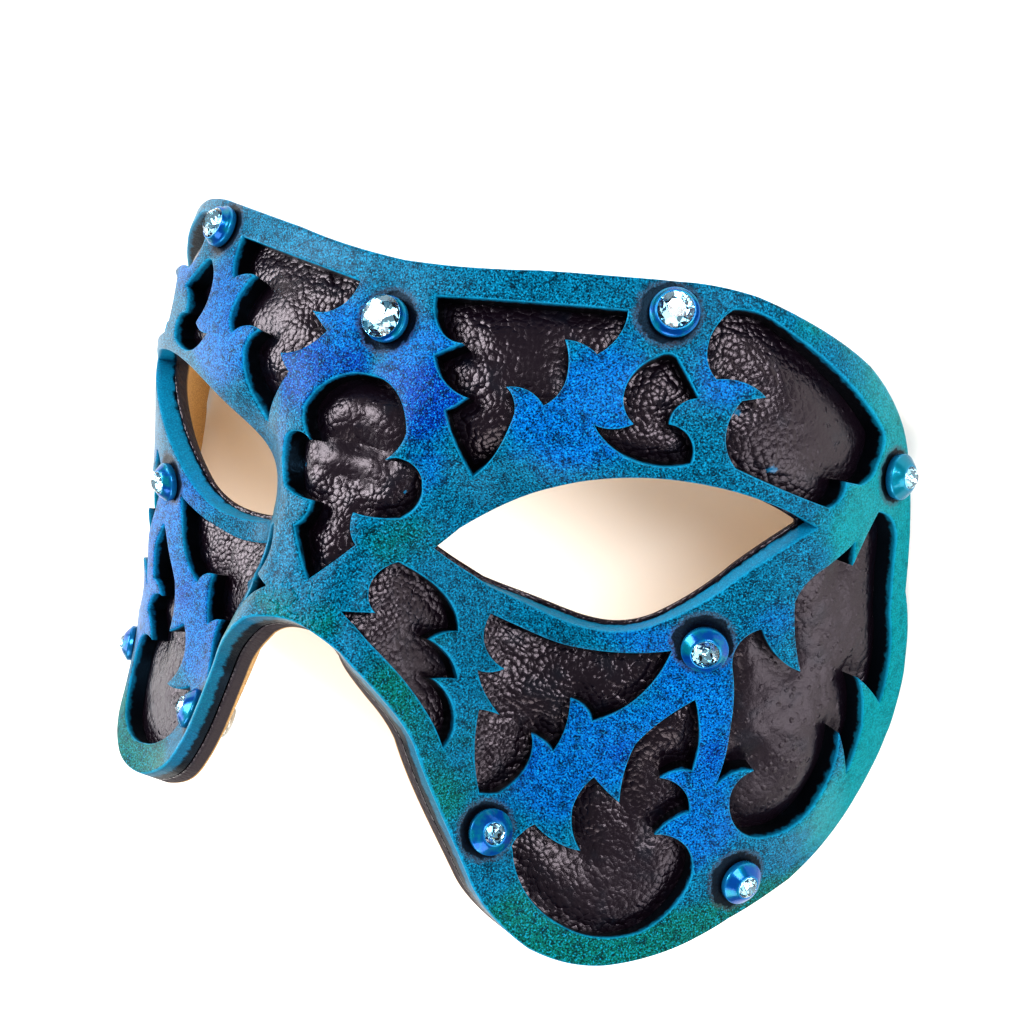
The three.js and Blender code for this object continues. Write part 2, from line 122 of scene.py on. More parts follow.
NOSTRIL_WINDOW = [
    (12.2, -34.5, 1.4), (20.2, -45.8, -0.45), (17.8, -46.5, 0.45), (22, -52.9, -0.1),
    (19.6, -52.3, 0.75), (23.5, -60.5, 0.1), (23.3, -63.1, -1.35), (9.7, -43.6, 0),
    (7.3, -41.9, 0.1), (11.6, -41.9, 0.4), (9.8, -38.1, 0.7),
]
SIDE_WINDOWS = [
    BROW_WINDOW, CRESCENT_WINDOW, TEMPLE_WINDOW, CHEEK_WINDOW, UNDER_EYE_WINDOW, LOWER_WINDOW,
    NOSTRIL_WINDOW,
]


def smoothstep(t: Array) -> Array:
    """Smooth rise from 0 to 1 as t goes from 0 to 1: t²(3 - 2t), held outside."""
    t = np.clip(t, 0.0, 1.0)
    return t * t * (3.0 - 2.0 * t)


def linear_colour(srgb_hex: str) -> tuple[float, float, float, float]:
    """Turns an sRGB hex colour into linear red, green, blue and a full alpha.

    Args:
        srgb_hex: Colour written as "#rrggbb".

    Returns:
        The linear colour as Blender's sockets take it.
    """
    values = [int(srgb_hex[i : i + 2], 16) / 255.0 for i in (1, 3, 5)]
    linear = [v / 12.92 if v <= 0.04045 else ((v + 0.055) / 1.055) ** 2.4 for v in values]
    return (*linear, 1.0)


@dataclass(frozen=True)
class Patch:
    """A soft round patch on the pattern, the same on both sides of the nose.

    Its strength falls from the middle as exp(-(du/spread_u)² - (dy/spread_y)²).
    """

    u: float
    y: float
    spread_u: float
    spread_y: float
    strength: float = 1.0

    def over(self, flat: Array) -> Array:
        """Strength of the patch at flat points of shape (n, 2)."""
        du = (np.abs(flat[:, 0]) - self.u) / self.spread_u
        dy = (flat[:, 1] - self.y) / self.spread_y
        return self.strength * np.exp(-du * du - dy * dy)


def patches(*rows: tuple[float, ...]) -> tuple[Patch, ...]:
    """Patches from rows of (u, y, spread_u, spread_y), each with its strength where it isn't 1."""
    return tuple(Patch(*row) for row in rows)


def added(laid: tuple[Patch, ...], flat: Array) -> Array:
    """Adds patches up at flat points of shape (n, 2)."""
    return sum(patch.over(flat) for patch in laid)


def patched(laid: tuple[Patch, ...], flat: Array) -> Array:
    """Adds patches up at flat points and keeps the sum between 0 and 1."""
    return np.clip(added(laid, flat), 0.0, 1.0)


@dataclass(frozen=True)
class FaceForm:
    """Form of the face that both leather layers follow.

    The height over (x, y) is a bridge line down the nose, less the round wrap about the head,
    less the fall of the cheeks beside the nose, plus soft bumps at the brow and the cheekbone.
    """

    middle_y: float = -30.0
    unit_y: float = 40.0
    bridge: tuple[float, ...] = (10.25, -19.8, 7.3, -1.4)
    half_width: float = 75.0
    wrap: tuple[float, ...] = (19.2, 1.2, 4.6)
    turn: tuple[float, ...] = (9.7, 15.0, 15.0)
    turn_power: float = 9.9
    nose_depth: float = 28.3
    nose_top: float = 1.7
    nose_rise: float = 56.2
    nose_growth: float = 23.7
    growth_bend: float = 2.4
    nose_half_width: float = 19.3
    nose_narrowing: float = -5.0
    nose_power: float = 3.4
    bumps: tuple[Patch, ...] = patches(
        (25.4, -14.6, 21.4, 14.7, 6.9), (54.9, -36.1, 23.3, 23.3, 5.05),
    )
    wrap_limit: float = 86.0
    wrap_power: float = 5.0
    slope_step: float = 0.05

    def height(self, x: Array, y: Array) -> Array:
        """Height of the carved layer's front over x and y, in mm."""
        side = np.abs(x)
        t = (y - self.middle_y) / self.unit_y
        s = side / self.half_width
        wrap = polyval(t, self.wrap) * s * s
        wrap = wrap + polyval(t, self.turn) * s**self.turn_power
        below = self.nose_top - y
        past = below - self.nose_rise
        growth = 0.5 * (past + np.sqrt(past * past + self.growth_bend**2)) / self.unit_y
        depth = self.nose_depth * smoothstep(below / self.nose_rise) + self.nose_growth * growth
        width = self.nose_half_width + self.nose_narrowing * (y + self.unit_y) / self.unit_y
        nose = np.exp(-((side / width) ** self.nose_power))
        bumps = added(self.bumps, np.column_stack([x, y]))
        return polyval(t, self.bridge) - wrap - depth * (1.0 - nose) + bumps

    def wrapped(self, u: Array) -> Array:
        """Place x of a place u along the pattern, which bends round the head at the limit."""
        return u / (1.0 + (np.abs(u) / self.wrap_limit) ** self.wrap_power) ** (1 / self.wrap_power)

    def point(self, flat: Array) -> Array:
        """Points on the front of the face for flat points of shape (n, 2)."""
        x = self.wrapped(flat[:, 0])
        return np.column_stack([x, flat[:, 1], self.height(x, flat[:, 1])])

    def normal(self, flat: Array) -> Array:
        """Unit normals out of the face, from the slopes of the height on both sides."""
        x, y, step = self.wrapped(flat[:, 0]), flat[:, 1], self.slope_step
        slope_x = (self.height(x + step, y) - self.height(x - step, y)) / (2 * step)
        slope_y = (self.height(x, y + step) - self.height(x, y - step)) / (2 * step)
        out = np.column_stack([-slope_x, -slope_y, np.ones_like(x)])
        return out / np.linalg.norm(out, axis=1, keepdims=True)

    def leather(self, flat: Array, depth: Array | float) -> Array:
        """Points at a depth in mm behind the face, along its normals."""
        return self.point(flat) - self.normal(flat) * np.reshape(depth, (-1, 1))


def settled(points: Array) -> Array:
    """Lays points of the worked-out face down on its rims.

    They turn about X by the resting pitch, move to their place over the floor, and go from
    millimetres to metres.

    Args:
        points: Points in mm, of shape (n, 3).

    Returns:
        The points in metres, of the same shape.
    """
    pitch = math.radians(LIE_PITCH_DEG)
    turn = np.array(
        [[1, 0, 0], [0, math.cos(pitch), -math.sin(pitch)], [0, math.sin(pitch), math.cos(pitch)]]
    )
    return (points @ turn.T + np.array(SETTLED_AT)) * MILLIMETRE


@dataclass(frozen=True)
class RivetPlace:
    """One rivet on the pattern: its crystal's radius, the dark ring round it of worn stain and
    painted shade, and how far its dye goes from blue to teal.
    """

    name: str
    u: float
    y: float
    crystal: float
    # stain_shift and stain_radius place each rivet's dark ring of worn stain and painted shade
    stain_shift: tuple[float, float] = (0.0, 0.0)
    stain_radius: float = 5.0
    teal: float = -0.04


RIVETS = (
    RivetPlace("centre", 0, 0, 3.4, (0.1, -0.1), 5.2),
    RivetPlace("forehead", 42.8, 8.0, 2.7, (-0.7, -0.1), 4.9),
    RivetPlace("temple", 85.3, -14.2, 1.8, (-0.4, 0.1), 4.6, 0.3),
    RivetPlace("under_eye", 56.7, -42.5, 2.15, (-0.4, 1.0), 5.0),
    RivetPlace("inner_cheek", 31.2, -76.6, 1.75, (-0.5, 0.2), 4.9),
    RivetPlace("outer_cheek", 72.0, -82.2, 1.8, (-0.6, 0.3), 5.3),
)


def both_sides() -> list[RivetPlace]:
    """Every rivet of the mask: the one over the nose, and the others left and right."""
    every = []
    for place in RIVETS:
        shift_u, shift_y = place.stain_shift
        across = replace(place, u=-place.u, stain_shift=(-shift_u, shift_y))
        sides = [("_left", place), ("_right", across)] if place.u else [("", place)]
        every += [replace(one, name=place.name + suffix) for suffix, one in sides]
    return every


def arc_points(start: Corner, end: Corner, step: float) -> Array:
    """Even points along one arc, without its end.

    A bow b over a chord c lies on a circle of radius (c²/4 + b²) / 2b, and the rise over the
    chord is that circle's height there.

    Args:
        start: Corner (u, y, bow) that the arc leaves.
        end: Corner that it goes to.
        step: Longest step in mm.

    Returns:
        Points of shape (n, 2).
    """
    first, last, bow = np.array(start[:2], float), np.array(end[:2], float), start[2]
    chord = float(np.hypot(*(last - first)))
    steps = max(1, math.ceil(chord / step))
    along = np.arange(steps) / steps
    rise = np.zeros(steps)
    if bow:
        radius = (chord * chord / 4 + bow * bow) / (2 * abs(bow))
        offset = (along - 0.5) * chord
        rise = math.copysign(1, bow) * (np.sqrt(radius**2 - offset**2) - radius + abs(bow))
    left = np.array([first[1] - last[1], last[0] - first[0]]) / chord
    return first + np.outer(along, last - first) + np.outer(rise, left)


def open_path(corners: list[Corner], step: float) -> Array:
    """Points along a row of arcs, with the last corner."""
    arcs = [arc_points(a, b, step) for a, b in zip(corners, corners[1:])]
    return np.vstack([*arcs, np.array([corners[-1][:2]], float)])


def closed_path(corners: list[Corner], step: float) -> Array:
    """Points round a closed outline."""
    return open_path([*corners, corners[0]], step)[:-1]


def with_mirror(half: Array) -> Array:
    """A whole outline from its right half, which starts and ends on the middle line."""
    return np.vstack([half, (half[1:-1] * (-1, 1))[::-1]])


def mirrored(path: Array) -> Array:
    """The same outline on the other side of the nose, still clockwise."""
    return (path * (-1, 1))[::-1]


def circle_path(u: float, y: float, radius: float, sides: int) -> Array:
    """A circle on the pattern, clockwise."""
    angle = -2 * math.pi * np.arange(sides) / sides
    return np.column_stack([u + radius * np.cos(angle), y + radius * np.sin(angle)])


def offset_path(path: Array, distance: float) -> Array:
    """Moves a closed clockwise outline to its left by a distance, or to its right below 0.

    Each point moves along the mean normal of its two neighbours' line.
    """
    way = np.roll(path, -1, axis=0) - np.roll(path, 1, axis=0)
    way = way / np.linalg.norm(way, axis=1, keepdims=True)
    return path + distance * np.column_stack([-way[:, 1], way[:, 0]])


# Points worked on at once, which keeps the arrays small
ROWS_TO_TEST = 3000
ROWS_TO_MEASURE = 1500


def inside(path: Array, points: Array) -> Array:
    """Tells which points lie inside a closed outline, by counting its crossings.

    Args:
        path: Outline points of shape (m, 2).
        points: Points of shape (n, 2).

    Returns:
        A flag for each point.
    """
    flags = np.zeros(len(points), bool)
    near = ((points >= path.min(axis=0)) & (points <= path.max(axis=0))).all(axis=1)
    after = np.roll(path, -1, axis=0)
    fall = after[:, 1] - path[:, 1]
    slope = (after[:, 0] - path[:, 0]) / np.where(fall == 0, 1, fall)
    for rows in np.array_split(np.flatnonzero(near), max(1, near.sum() // ROWS_TO_TEST)):
        u, y = points[rows, 0, None], points[rows, 1, None]
        straddles = (path[:, 1] > y) != (after[:, 1] > y)
        crossings = straddles & (u < slope * (y - path[:, 1]) + path[:, 0])
        flags[rows] = crossings.sum(axis=1) % 2 == 1
    return flags


def distance_to(paths: list[Array], points: Array) -> Array:
    """Distance from each point to the nearest of several closed outlines.

    It is the distance to each straight step of them, with the foot held on the step.

    Args:
        paths: Outlines, each of shape (m, 2).
        points: Points of shape (n, 2).

    Returns:
        Distances in mm.
    """
    start = np.vstack(paths)
    way = np.vstack([np.roll(path, -1, axis=0) - path for path in paths])
    length2 = np.maximum((way**2).sum(axis=1), 1e-12)
    nearest = np.empty(len(points))
    for rows in np.array_split(np.arange(len(points)), max(1, len(points) // ROWS_TO_MEASURE)):
        offset = points[rows, None, :] - start
        share = np.clip((offset * way).sum(axis=2) / length2, 0, 1)
        gap = offset - share[..., None] * way
        nearest[rows] = np.sqrt((gap**2).sum(axis=2).min(axis=1))
    return nearest


def waves(flat: Array, shape: tuple[float, ...]) -> Array:
    """Slow uneven waves from -1 to 1: sin(u/a + b·sin(y/c)) · sin(y/d + e·sin(u/f)).

    Args:
        flat: Flat points of shape (n, 2).
        shape: The numbers a to f; all but b and e are lengths in mm.

    Returns:
        The waves' height at each point.
    """
    (u, y), (a, b, c, d, e, f) = flat.T, shape
    return np.sin(u / a + b * np.sin(y / c)) * np.sin(y / d + e * np.sin(u / f))


def folded(points: Array) -> Array:
    """Flat points with those left of the nose carried over to the right."""
    return np.column_stack([np.abs(points[:, 0]), points[:, 1]])


class Cut(Enum):
    """Kinds of outline in a leather layer."""

    RIM = "rim"
    EYE = "eye"
    WINDOW = "window"
    HOLE = "hole"


@dataclass
class Outline:
    """One cut of a layer: its kind and its points on the flat pattern."""

    kind: Cut
    path: Array


@dataclass
class CuttingPattern:
    """Every outline of the mask, whole, cut to one step length."""

    step: float = 0.7
    hole_radius: float = 1.8
    hole_sides: int = 20
    eye_lip: float = 0.5
    lip_kept: float = 0.95

    def rim(self) -> Outline:
        """The outer edge of both layers."""
        return Outline(Cut.RIM, with_mirror(open_path(RIM, self.step)))

    def eyes(self, lip: float = 0.0) -> list[Outline]:
        """Both eye openings, made smaller all round by a lip.

        Points of the smaller outline that fall nearer than the lip to the first one, as they do
        at its sharp ends, are left out.
        """
        eye = closed_path(EYE, self.step)
        if lip:
            smaller = offset_path(eye, -lip)
            eye = smaller[distance_to([eye], smaller) > self.lip_kept * lip]
        return [Outline(Cut.EYE, eye), Outline(Cut.EYE, mirrored(eye))]

    def windows(self) -> list[Outline]:
        """The window over the nose and the seven windows of each side."""
        right = [closed_path(corners, self.step) for corners in SIDE_WINDOWS]
        paths = [with_mirror(open_path(NOSE_WINDOW, self.step)), *right, *map(mirrored, right)]
        return [Outline(Cut.WINDOW, path) for path in paths]

    def holes(self) -> list[Outline]:
        """The rivet holes."""
        return [
            Outline(Cut.HOLE, circle_path(place.u, place.y, self.hole_radius, self.hole_sides))
            for place in both_sides()
        ]

    def carved(self) -> list[Outline]:
        """Outlines of the carved layer, its rim first."""
        return [self.rim(), *self.eyes(), *self.windows(), *self.holes()]

    def backing(self) -> list[Outline]:
        """Outlines of the backing, its rim first."""
        return [self.rim(), *self.eyes(self.eye_lip), *self.holes()]


@dataclass
class FlatSheet:
    """A leather layer laid flat and cut into triangles.

    Points come in this order: the outlines, rings beside each outline for its rounded edge,
    and a three-way lattice between them. A constrained Delaunay triangulation joins them.
    """

    outlines: list[Outline]
    rings: tuple[float, ...]
    lattice: float
    ring_kept: float = 0.93
    lattice_clear: float = 0.4
    lattice_jog: float = 0.01
    join_reach: float = 1e-6
    least_area: float = 1e-7
    cut: int = field(init=False)
    points: Array = field(init=False)
    triangles: Array = field(init=False)

    def __post_init__(self) -> None:
        """Places the points, of which the first `cut` lie on the outlines, and joins them."""
        edge = np.vstack([outline.path for outline in self.outlines])
        self.cut = len(edge)
        self.points = np.vstack([edge, self.ring_points(), self.lattice_points()])
        self.triangles = self.joined()

    def in_leather(self, points: Array) -> Array:
        """Tells which points lie in the rim and in no opening."""
        flags = inside(self.outlines[0].path, points)
        for opening in self.outlines[1:]:
            flags &= ~inside(opening.path, points)
        return flags

    def right_paths(self, *kinds: Cut) -> list[Array]:
        """Outlines of some kinds that reach right of the nose, where they stand for both halves."""
        return [o.path for o in self.outlines if o.kind in kinds and o.path[:, 0].max() > 0]

    def edge_distance(self, points: Array) -> Array:
        """Distance to the nearest outline."""
        return distance_to(self.right_paths(*Cut), folded(points))

    def ring_points(self) -> Array:
        """Points beside the outlines, on their leather side, at each ring's distance."""
        rings = []
        for distance in self.rings:
            sides = [(o, -1 if o.kind is Cut.RIM else 1) for o in self.outlines]
            ring = np.vstack(
                [offset_path(o.path, s * distance) for o, s in sides if o.kind is not Cut.HOLE]
            )
            rings.append(ring[self.edge_distance(ring) > self.ring_kept * distance])
        ring = np.vstack(rings)
        return ring[self.in_leather(ring)]

    def lattice_points(self) -> Array:
        """Rows of points in a three-way lattice, kept clear of the rings."""
        rim = self.outlines[0].path
        low, high = rim.min(axis=0), rim.max(axis=0)
        row_height = self.lattice * math.sqrt(3) / 2
        row, column = np.meshgrid(
            np.arange(math.ceil((high[1] - low[1]) / row_height)),
            np.arange(math.ceil((high[0] - low[0]) / self.lattice)),
            indexing="ij",
        )
        u = low[0] + (column + 0.5 * (row % 2)) * self.lattice
        y = low[1] + row * row_height + self.lattice_jog * np.sin(u)
        points = np.column_stack([u.ravel(), y.ravel()])
        points = points[self.in_leather(points)]
        clear = max(self.rings) + self.lattice_clear * self.lattice
        return points[self.edge_distance(points) > clear]

    def rounds(self) -> list[tuple[Cut, Array, Array]]:
        """For each outline its kind, its points' numbers, and for each the next one's number."""
        rounds, start = [], 0
        for outline in self.outlines:
            index = start + np.arange(len(outline.path))
            rounds.append((outline.kind, index, np.roll(index, -1)))
            start += len(index)
        return rounds

    def joined(self) -> Array:
        """Triangles of the leather, all turned the same way seen from the front."""
        steps = np.vstack([np.column_stack([here, after]) for _, here, after in self.rounds()])
        vectors = [Vector(p) for p in self.points.tolist()]
        made = delaunay_2d_cdt(vectors, steps.tolist(), [], 0, self.join_reach)
        source = np.array([origin[0] for origin in made[3]])
        triangles = source[np.array(made[2])]
        a, b, c = (self.points[triangles[:, k]] for k in range(3))
        area = (b[:, 0] - a[:, 0]) * (c[:, 1] - a[:, 1]) - (b[:, 1] - a[:, 1]) * (c[:, 0] - a[:, 0])
        triangles[area < 0] = triangles[area < 0][:, ::-1]
        keep = self.in_leather((a + b + c) / 3) & (np.abs(area) > self.least_area)
        return triangles[keep]


def linked(name: str, data: bpy.types.ID) -> Piece:
    """Makes an object of some data and links it to the scene."""
    made = bpy.data.objects.new(name, data)
    bpy.context.scene.collection.objects.link(made)
    return made


def new_piece(
    name: str,
    points: Array,
    triangles: Array,
    facts: dict[str, Array] | None = None,
    crease_deg: float = 38.0,
) -> Piece:
    """Makes an object at the origin from points in metres and triangles.

    Args:
        name: Name of the piece.
        points: Vertex places of shape (n, 3).
        triangles: Vertex numbers of shape (m, 3), turned outwards.
        facts: Values kept at each vertex for the finish to read.
        crease_deg: Turn between faces from which their edge shows sharp.

    Returns:
        The object, linked to the scene.
    """
    mesh = bpy.data.meshes.new(name)
    mesh.vertices.add(len(points))
    mesh.vertices.foreach_set("co", np.ascontiguousarray(points, dtype=np.float32).ravel())
    mesh.loops.add(triangles.size)
    mesh.loops.foreach_set("vertex_index", triangles.astype(np.int32).ravel())
    mesh.polygons.add(len(triangles))
    mesh.polygons.foreach_set("loop_start", np.arange(len(triangles), dtype=np.int32) * 3)
    mesh.update(calc_edges=True)
    mesh.validate()
    mesh.shade_smooth()
    mesh.set_sharp_from_angle(angle=math.radians(crease_deg))
    for fact, values in (facts or {}).items():
        attribute = mesh.attributes.new(fact, "FLOAT", "POINT")
        attribute.data.foreach_set("value", values.astype(np.float32))
    return linked(name, mesh)


@dataclass(frozen=True)
class Seat:
    """Place of a rivet on the face: the point under its head and its three directions."""

    centre: Array
    along: Array
    across: Array
    out: Array

    @classmethod
    def at(cls, face: FaceForm, place: RivetPlace) -> "Seat":
        """Seat of a rivet; `along` is the right of the pattern, laid into the surface."""
        flat = np.array([[place.u, place.y]], float)
        out = face.normal(flat)[0]
        along = -np.cross(np.cross((1.0, 0.0, 0.0), out), out)
        along = along / np.linalg.norm(along)
        return cls(face.point(flat)[0], along, np.cross(out, along), out)

    def placed(self, points: Array) -> Array:
        """Carries points (along, across, out) in mm onto the seat, as settled metres."""
        return settled(self.centre + points @ np.vstack([self.along, self.across, self.out]))


@dataclass
class Leather:
    """What both leather layers share: a shell between two faces that follow the form.

    The front and the back hold the same triangles, the back's turned round, and each outline
    has a wall of rings between them.
    """

    face: FaceForm
    pattern: CuttingPattern
    edge_width: float = 0.5
    edge_drop: float = 0.32
    wall_rings: tuple[float, ...] = (0.25, 0.5, 0.75)

    def edge_and_drop(self, sheet: FlatSheet) -> tuple[Array, Array]:
        """Distances d to the nearest cut, and how far the front is rounded down there.

        The drop is edge_drop · (1 - √(1 - (1 - d/width)²)).
        """
        edge = sheet.edge_distance(sheet.points)
        edge[: sheet.cut] = 0.0
        reach = 1 - np.clip(edge / self.edge_width, 0, 1)
        return edge, self.edge_drop * (1 - np.sqrt(1 - reach**2))

    def shell(
        self, name: str, sheet: FlatSheet, front: Array, back: Array, facts: dict[str, Array]
    ) -> Piece:
        """Closes a front and a back into one shell.

        Args:
            name: Name of the piece.
            sheet: The flat sheet that both faces come from.
            front: Front points in mm, of shape (n, 3).
            back: Back points in mm, of shape (n, 3).
            facts: Values at the sheet's points for the finish, which the back and walls share.

        Returns:
            The layer, which also keeps each point's share of the way from front to back.
        """
        count, cut = len(front), sheet.cut
        rings = [front[:cut] * (1 - s) + back[:cut] * s for s in self.wall_rings]
        points = np.vstack([front, back, *rings])
        ring_shares = np.repeat(self.wall_rings, cut)
        share = np.concatenate([np.zeros(count), np.ones(count), ring_shares])
        levels = [0, *(2 * count + cut * k for k in range(len(self.wall_rings))), count]
        faces = [sheet.triangles, sheet.triangles[:, ::-1] + count]
        for kind, a, b in sheet.rounds():
            if kind is Cut.RIM:
                a, b = b, a
            for upper, lower in zip(levels, levels[1:]):
                faces.append(np.column_stack([b + upper, a + upper, a + lower]))
                faces.append(np.column_stack([b + upper, a + lower, b + lower]))
        source = np.concatenate([np.arange(count)] * 2 + [np.arange(cut)] * len(self.wall_rings))
        kept = {"wall": share, **{fact: values[source] for fact, values in facts.items()}}
        return new_piece(name, settled(points), np.vstack(faces), kept)

    def rivet_distance(self, front: Array) -> Array:
        """Distance in mm to the middle of the nearest rivet's ring of stain and painted shade, per
        radius.
        """
        nearest = np.full(len(front), np.inf)
        for place in both_sides():
            flat = np.array([[place.u, place.y]]) + place.stain_shift
            gap = np.linalg.norm(front - self.face.point(flat), axis=1) / place.stain_radius
            nearest = np.minimum(nearest, gap)
        return nearest


@dataclass
class CarvedLayer(Leather):
    """The blue-green front layer, cut through in windows, its cut edges rounded over."""

    back_depth: float = 3.65
    rings: tuple[float, ...] = (0.08, 0.22, 0.46)
    lattice: float = 1.15
    seat_inner: float = 3.9
    seat_outer: float = 5.6
    seat_depth: float = 0.22
    waviness: float = 0.045
    wave_shape: tuple[float, ...] = (3.1, 1.3, 4.7, 2.9, 0.9, 5.3)
    rim_cover: float = 0.5
    eye_cover: float = 1.0
    azure: tuple[Patch, ...] = patches(
        (8, -4, 9, 7), (31, -8, 8, 9), (39, -4, 6, 9, 0.8), (53, 1, 5, 6, 0.9), (38, -10, 6, 3, 0.3),
        (50, -43, 12, 4, 0.8), (45, -61, 12, 9), (37, -68, 7, 8), (55, -50, 5, 9, 0.9),
        (61, -57, 5, 10), (63, -73, 7, 8), (68, -37, 7, 7, 0.4), (90, -54, 3, 7, 0.7),
        (14, -17, 3, 9, 0.6),
    )
    cobalt: tuple[Patch, ...] = patches(
        (12, -11, 5, 7), (3, -7, 5, 3, 0.6), (15, -5, 4, 4, 0.5), (30, -5, 4, 5, 0.4),
        (46, -61, 6, 5, 0.5), (62, -60, 3, 6, 0.6), (33, -66, 5, 5, 0.4),
    )
    turquoise: tuple[Patch, ...] = patches(
        (92, -14, 14, 16, 1.2), (104, -38, 12, 16, 1.2), (104, -58, 12, 16, 1.1), (78, 2, 12, 10, 0.7),
        (64, 10, 12, 5, 0.5), (78, -20, 7, 6, 0.5), (92, -76, 14, 11, 0.8), (78, -30, 6, 6, 0.4),
    )
    green: tuple[Patch, ...] = patches(
        (60, -93, 20, 6, 1.3), (42, -91, 9, 7, 1.2), (80, -88, 12, 6, 0.9), (16, -54, 5, 10, 1.0),
        (10, -32, 9, 7, 0.42), (24, -72, 5, 11, 0.8), (3, -44, 8, 4, 0.6), (84, 2, 6, 9, 0.9),
        (66, 10, 12, 3, 0.5), (100, -30, 4, 9, 0.5), (30, -55, 5, 6, 0.5),
    )
    matt: tuple[Patch, ...] = patches(
        (102, -14, 16, 20, 1.2), (110, -40, 14, 24, 1.2), (104, -66, 12, 20, 1.2),
        (80, -88, 24, 10, 0.8), (50, -95, 20, 5, 0.5),
    )
    polished: tuple[Patch, ...] = patches(
        (12, -9, 7, 6), (6, -25, 4, 6, 0.8), (5, -40, 6, 7), (15, -20, 4, 8, 0.8), (20, 9, 14, 4, 0.8),
    )
    creased: tuple[Patch, ...] = patches(
        (11, -31, 7, 5), (0, -43, 9, 4), (22, -44, 8, 5, 0.6), (12, -20, 6, 6, 0.4),
    )

    def front_points(self, sheet: FlatSheet, drop: Array) -> Array:
        """Front of the layer: rounded over at its cuts, a little wavy, flat under each rivet.

        Near a rivet the surface blends to the plane across it, seat_depth down.

        Args:
            sheet: The flat sheet.
            drop: How far its points are rounded down at the cuts, in mm.

        Returns:
            Points in mm, of shape (n, 3).
        """
        drop = drop + self.waviness * (1 + waves(sheet.points, self.wave_shape))
        front = self.face.leather(sheet.points, drop)
        for place in both_sides():
            seat = Seat.at(self.face, place)
            offset = front - seat.centre
            height = offset @ seat.out
            radius = np.linalg.norm(offset - height[:, None] * seat.out, axis=1)
            reach = (self.seat_outer - radius) / (self.seat_outer - self.seat_inner)
            share = smoothstep(reach) * (np.linalg.norm(offset, axis=1) < 2 * self.seat_outer)
            target = -self.seat_depth - drop
            front = front + (share * (target - height))[:, None] * seat.out
        return front

    def build(self) -> Piece:
        """Builds the layer's closed mesh with the facts that its finish reads.

        A cut wall is dyed as far as its kind of cut is painted over: a share for each kind.
        """
        sheet = FlatSheet(self.pattern.carved(), self.rings, self.lattice)
        edge, drop = self.edge_and_drop(sheet)
        front = self.front_points(sheet, drop)
        back = self.face.leather(sheet.points, self.back_depth)
        painted = np.zeros(len(edge))
        cover = {Cut.RIM: self.rim_cover, Cut.EYE: self.eye_cover}
        for kind, index, _ in sheet.rounds():
            painted[index] = cover.get(kind, 0.0)
        # stain: distance to each rivet's dark ring of worn stain and painted shade
        facts = {"edge_mm": edge, "painted": painted, "stain": self.rivet_distance(front)}
        for name in ("azure", "cobalt", "turquoise", "green", "creased", "matt", "polished"):
            facts[name] = patched(getattr(self, name), sheet.points)
        piece = self.shell("carved_leather", sheet, front, back, facts)
        piece.data.materials.append(DyedCarvedLeather().material())
        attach(piece, "root")
        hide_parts("carved_layer")
        return piece


@dataclass
class BackingLayer(Leather):
    """The black layer behind, drawn up into soft cushions in the windows, tan on its inside."""

    front_depth: float = 3.7
    back_depth: float = 6.3
    rings: tuple[float, ...] = (0.12, 0.35)
    edge_width: float = 0.4
    edge_drop: float = 0.2
    lattice: float = 1.0
    cushion: float = 0.8
    cushion_reach: float = 2.6
    cushion_power: float = 1.6
    swell: float = 0.09
    swell_shape: tuple[float, ...] = (1.3, 1.0, 2.3, 1.1, 1.2, 1.9)
    bulges: tuple[Patch, ...] = patches(
        (0, -12.2, 6.2, 4.4, 1.6), (0, -18.4, 12, 1.1, -0.9), (0, -21.2, 12, 1.6, 0.35),
        (0, -24.0, 9, 0.9, -0.5), (7, -26.6, 4, 1.7, 0.6), (0, -33, 3, 3.2, 0.8), (92, -36, 9, 14, 0.9),
        (84, -66, 9, 9, 0.9),
    )
    eye_skive: float = 1.9
    eye_skive_reach: float = 3.6
    smooth: tuple[Patch, ...] = patches(
        (84, -40, 16, 26), (78, -64, 12, 12), (72, -4, 11, 10, 0.9), (66, -50, 8, 14, 0.5),
        (50, -83, 13, 9, 0.7), (0, -20.8, 12, 3.4, 0.9), (0, -12, 8, 6, 0.8), (19, -52, 4, 10, 0.7),
        (25, -1, 8, 8, 0.6), (52, -64, 7, 8, 0.4),
    )
    dye_spots: tuple[Patch, ...] = patches(
        (56.6, -4.3, 0.9, 0.9, 0.9), (64.2, -12.9, 1.3, 0.8), (11, -24.3, 0.4, 0.4),
        (54.6, -57.4, 0.8, 1.0, 0.7), (69, -9.5, 0.5, 0.6, 0.7),
    )

    def build(self) -> Piece:
        """Builds the backing's closed mesh with the facts that its finish reads.

        Inside a window, at a distance d from its cut, the front rises by
        cushion · (1 - exp(-(d/reach)^power)), with a slow swell and some bulges.
        The inside is pared away towards each eye by skive · (1 - d/reach)².
        """
        sheet = FlatSheet(self.pattern.backing(), self.rings, self.lattice)
        flat = sheet.points
        right = folded(flat)
        rise = np.zeros(len(flat))
        for window in self.pattern.windows():
            rows = np.flatnonzero(inside(window.path, right))
            if len(rows):
                away = distance_to([window.path], right[rows])
                rise[rows] = 1 - np.exp(-((away / self.cushion_reach) ** self.cushion_power))
        swell = self.swell * waves(flat, self.swell_shape)
        rise = rise * (self.cushion + added(self.bulges, flat) + swell)
        front = self.face.leather(flat, self.front_depth + self.edge_and_drop(sheet)[1] - rise)
        eye_distance = distance_to(sheet.right_paths(Cut.EYE), right)
        pared = 1 - np.clip(eye_distance / self.eye_skive_reach, 0, 1)
        back = self.face.leather(flat, self.back_depth - self.eye_skive * pared**2)
        facts = {
            "pared": pared, "smooth": patched(self.smooth, flat), "dye": patched(self.dye_spots, flat),
        }
        piece = self.shell("backing_leather", sheet, front, back, facts)
        piece.data.materials.append(PebbledBlackLeather().material())
        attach(piece, "root")
        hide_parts("backing_layer")
        return piece


FILLET_SHARE = 0.45  # most of a profile's side that one rounding takes up


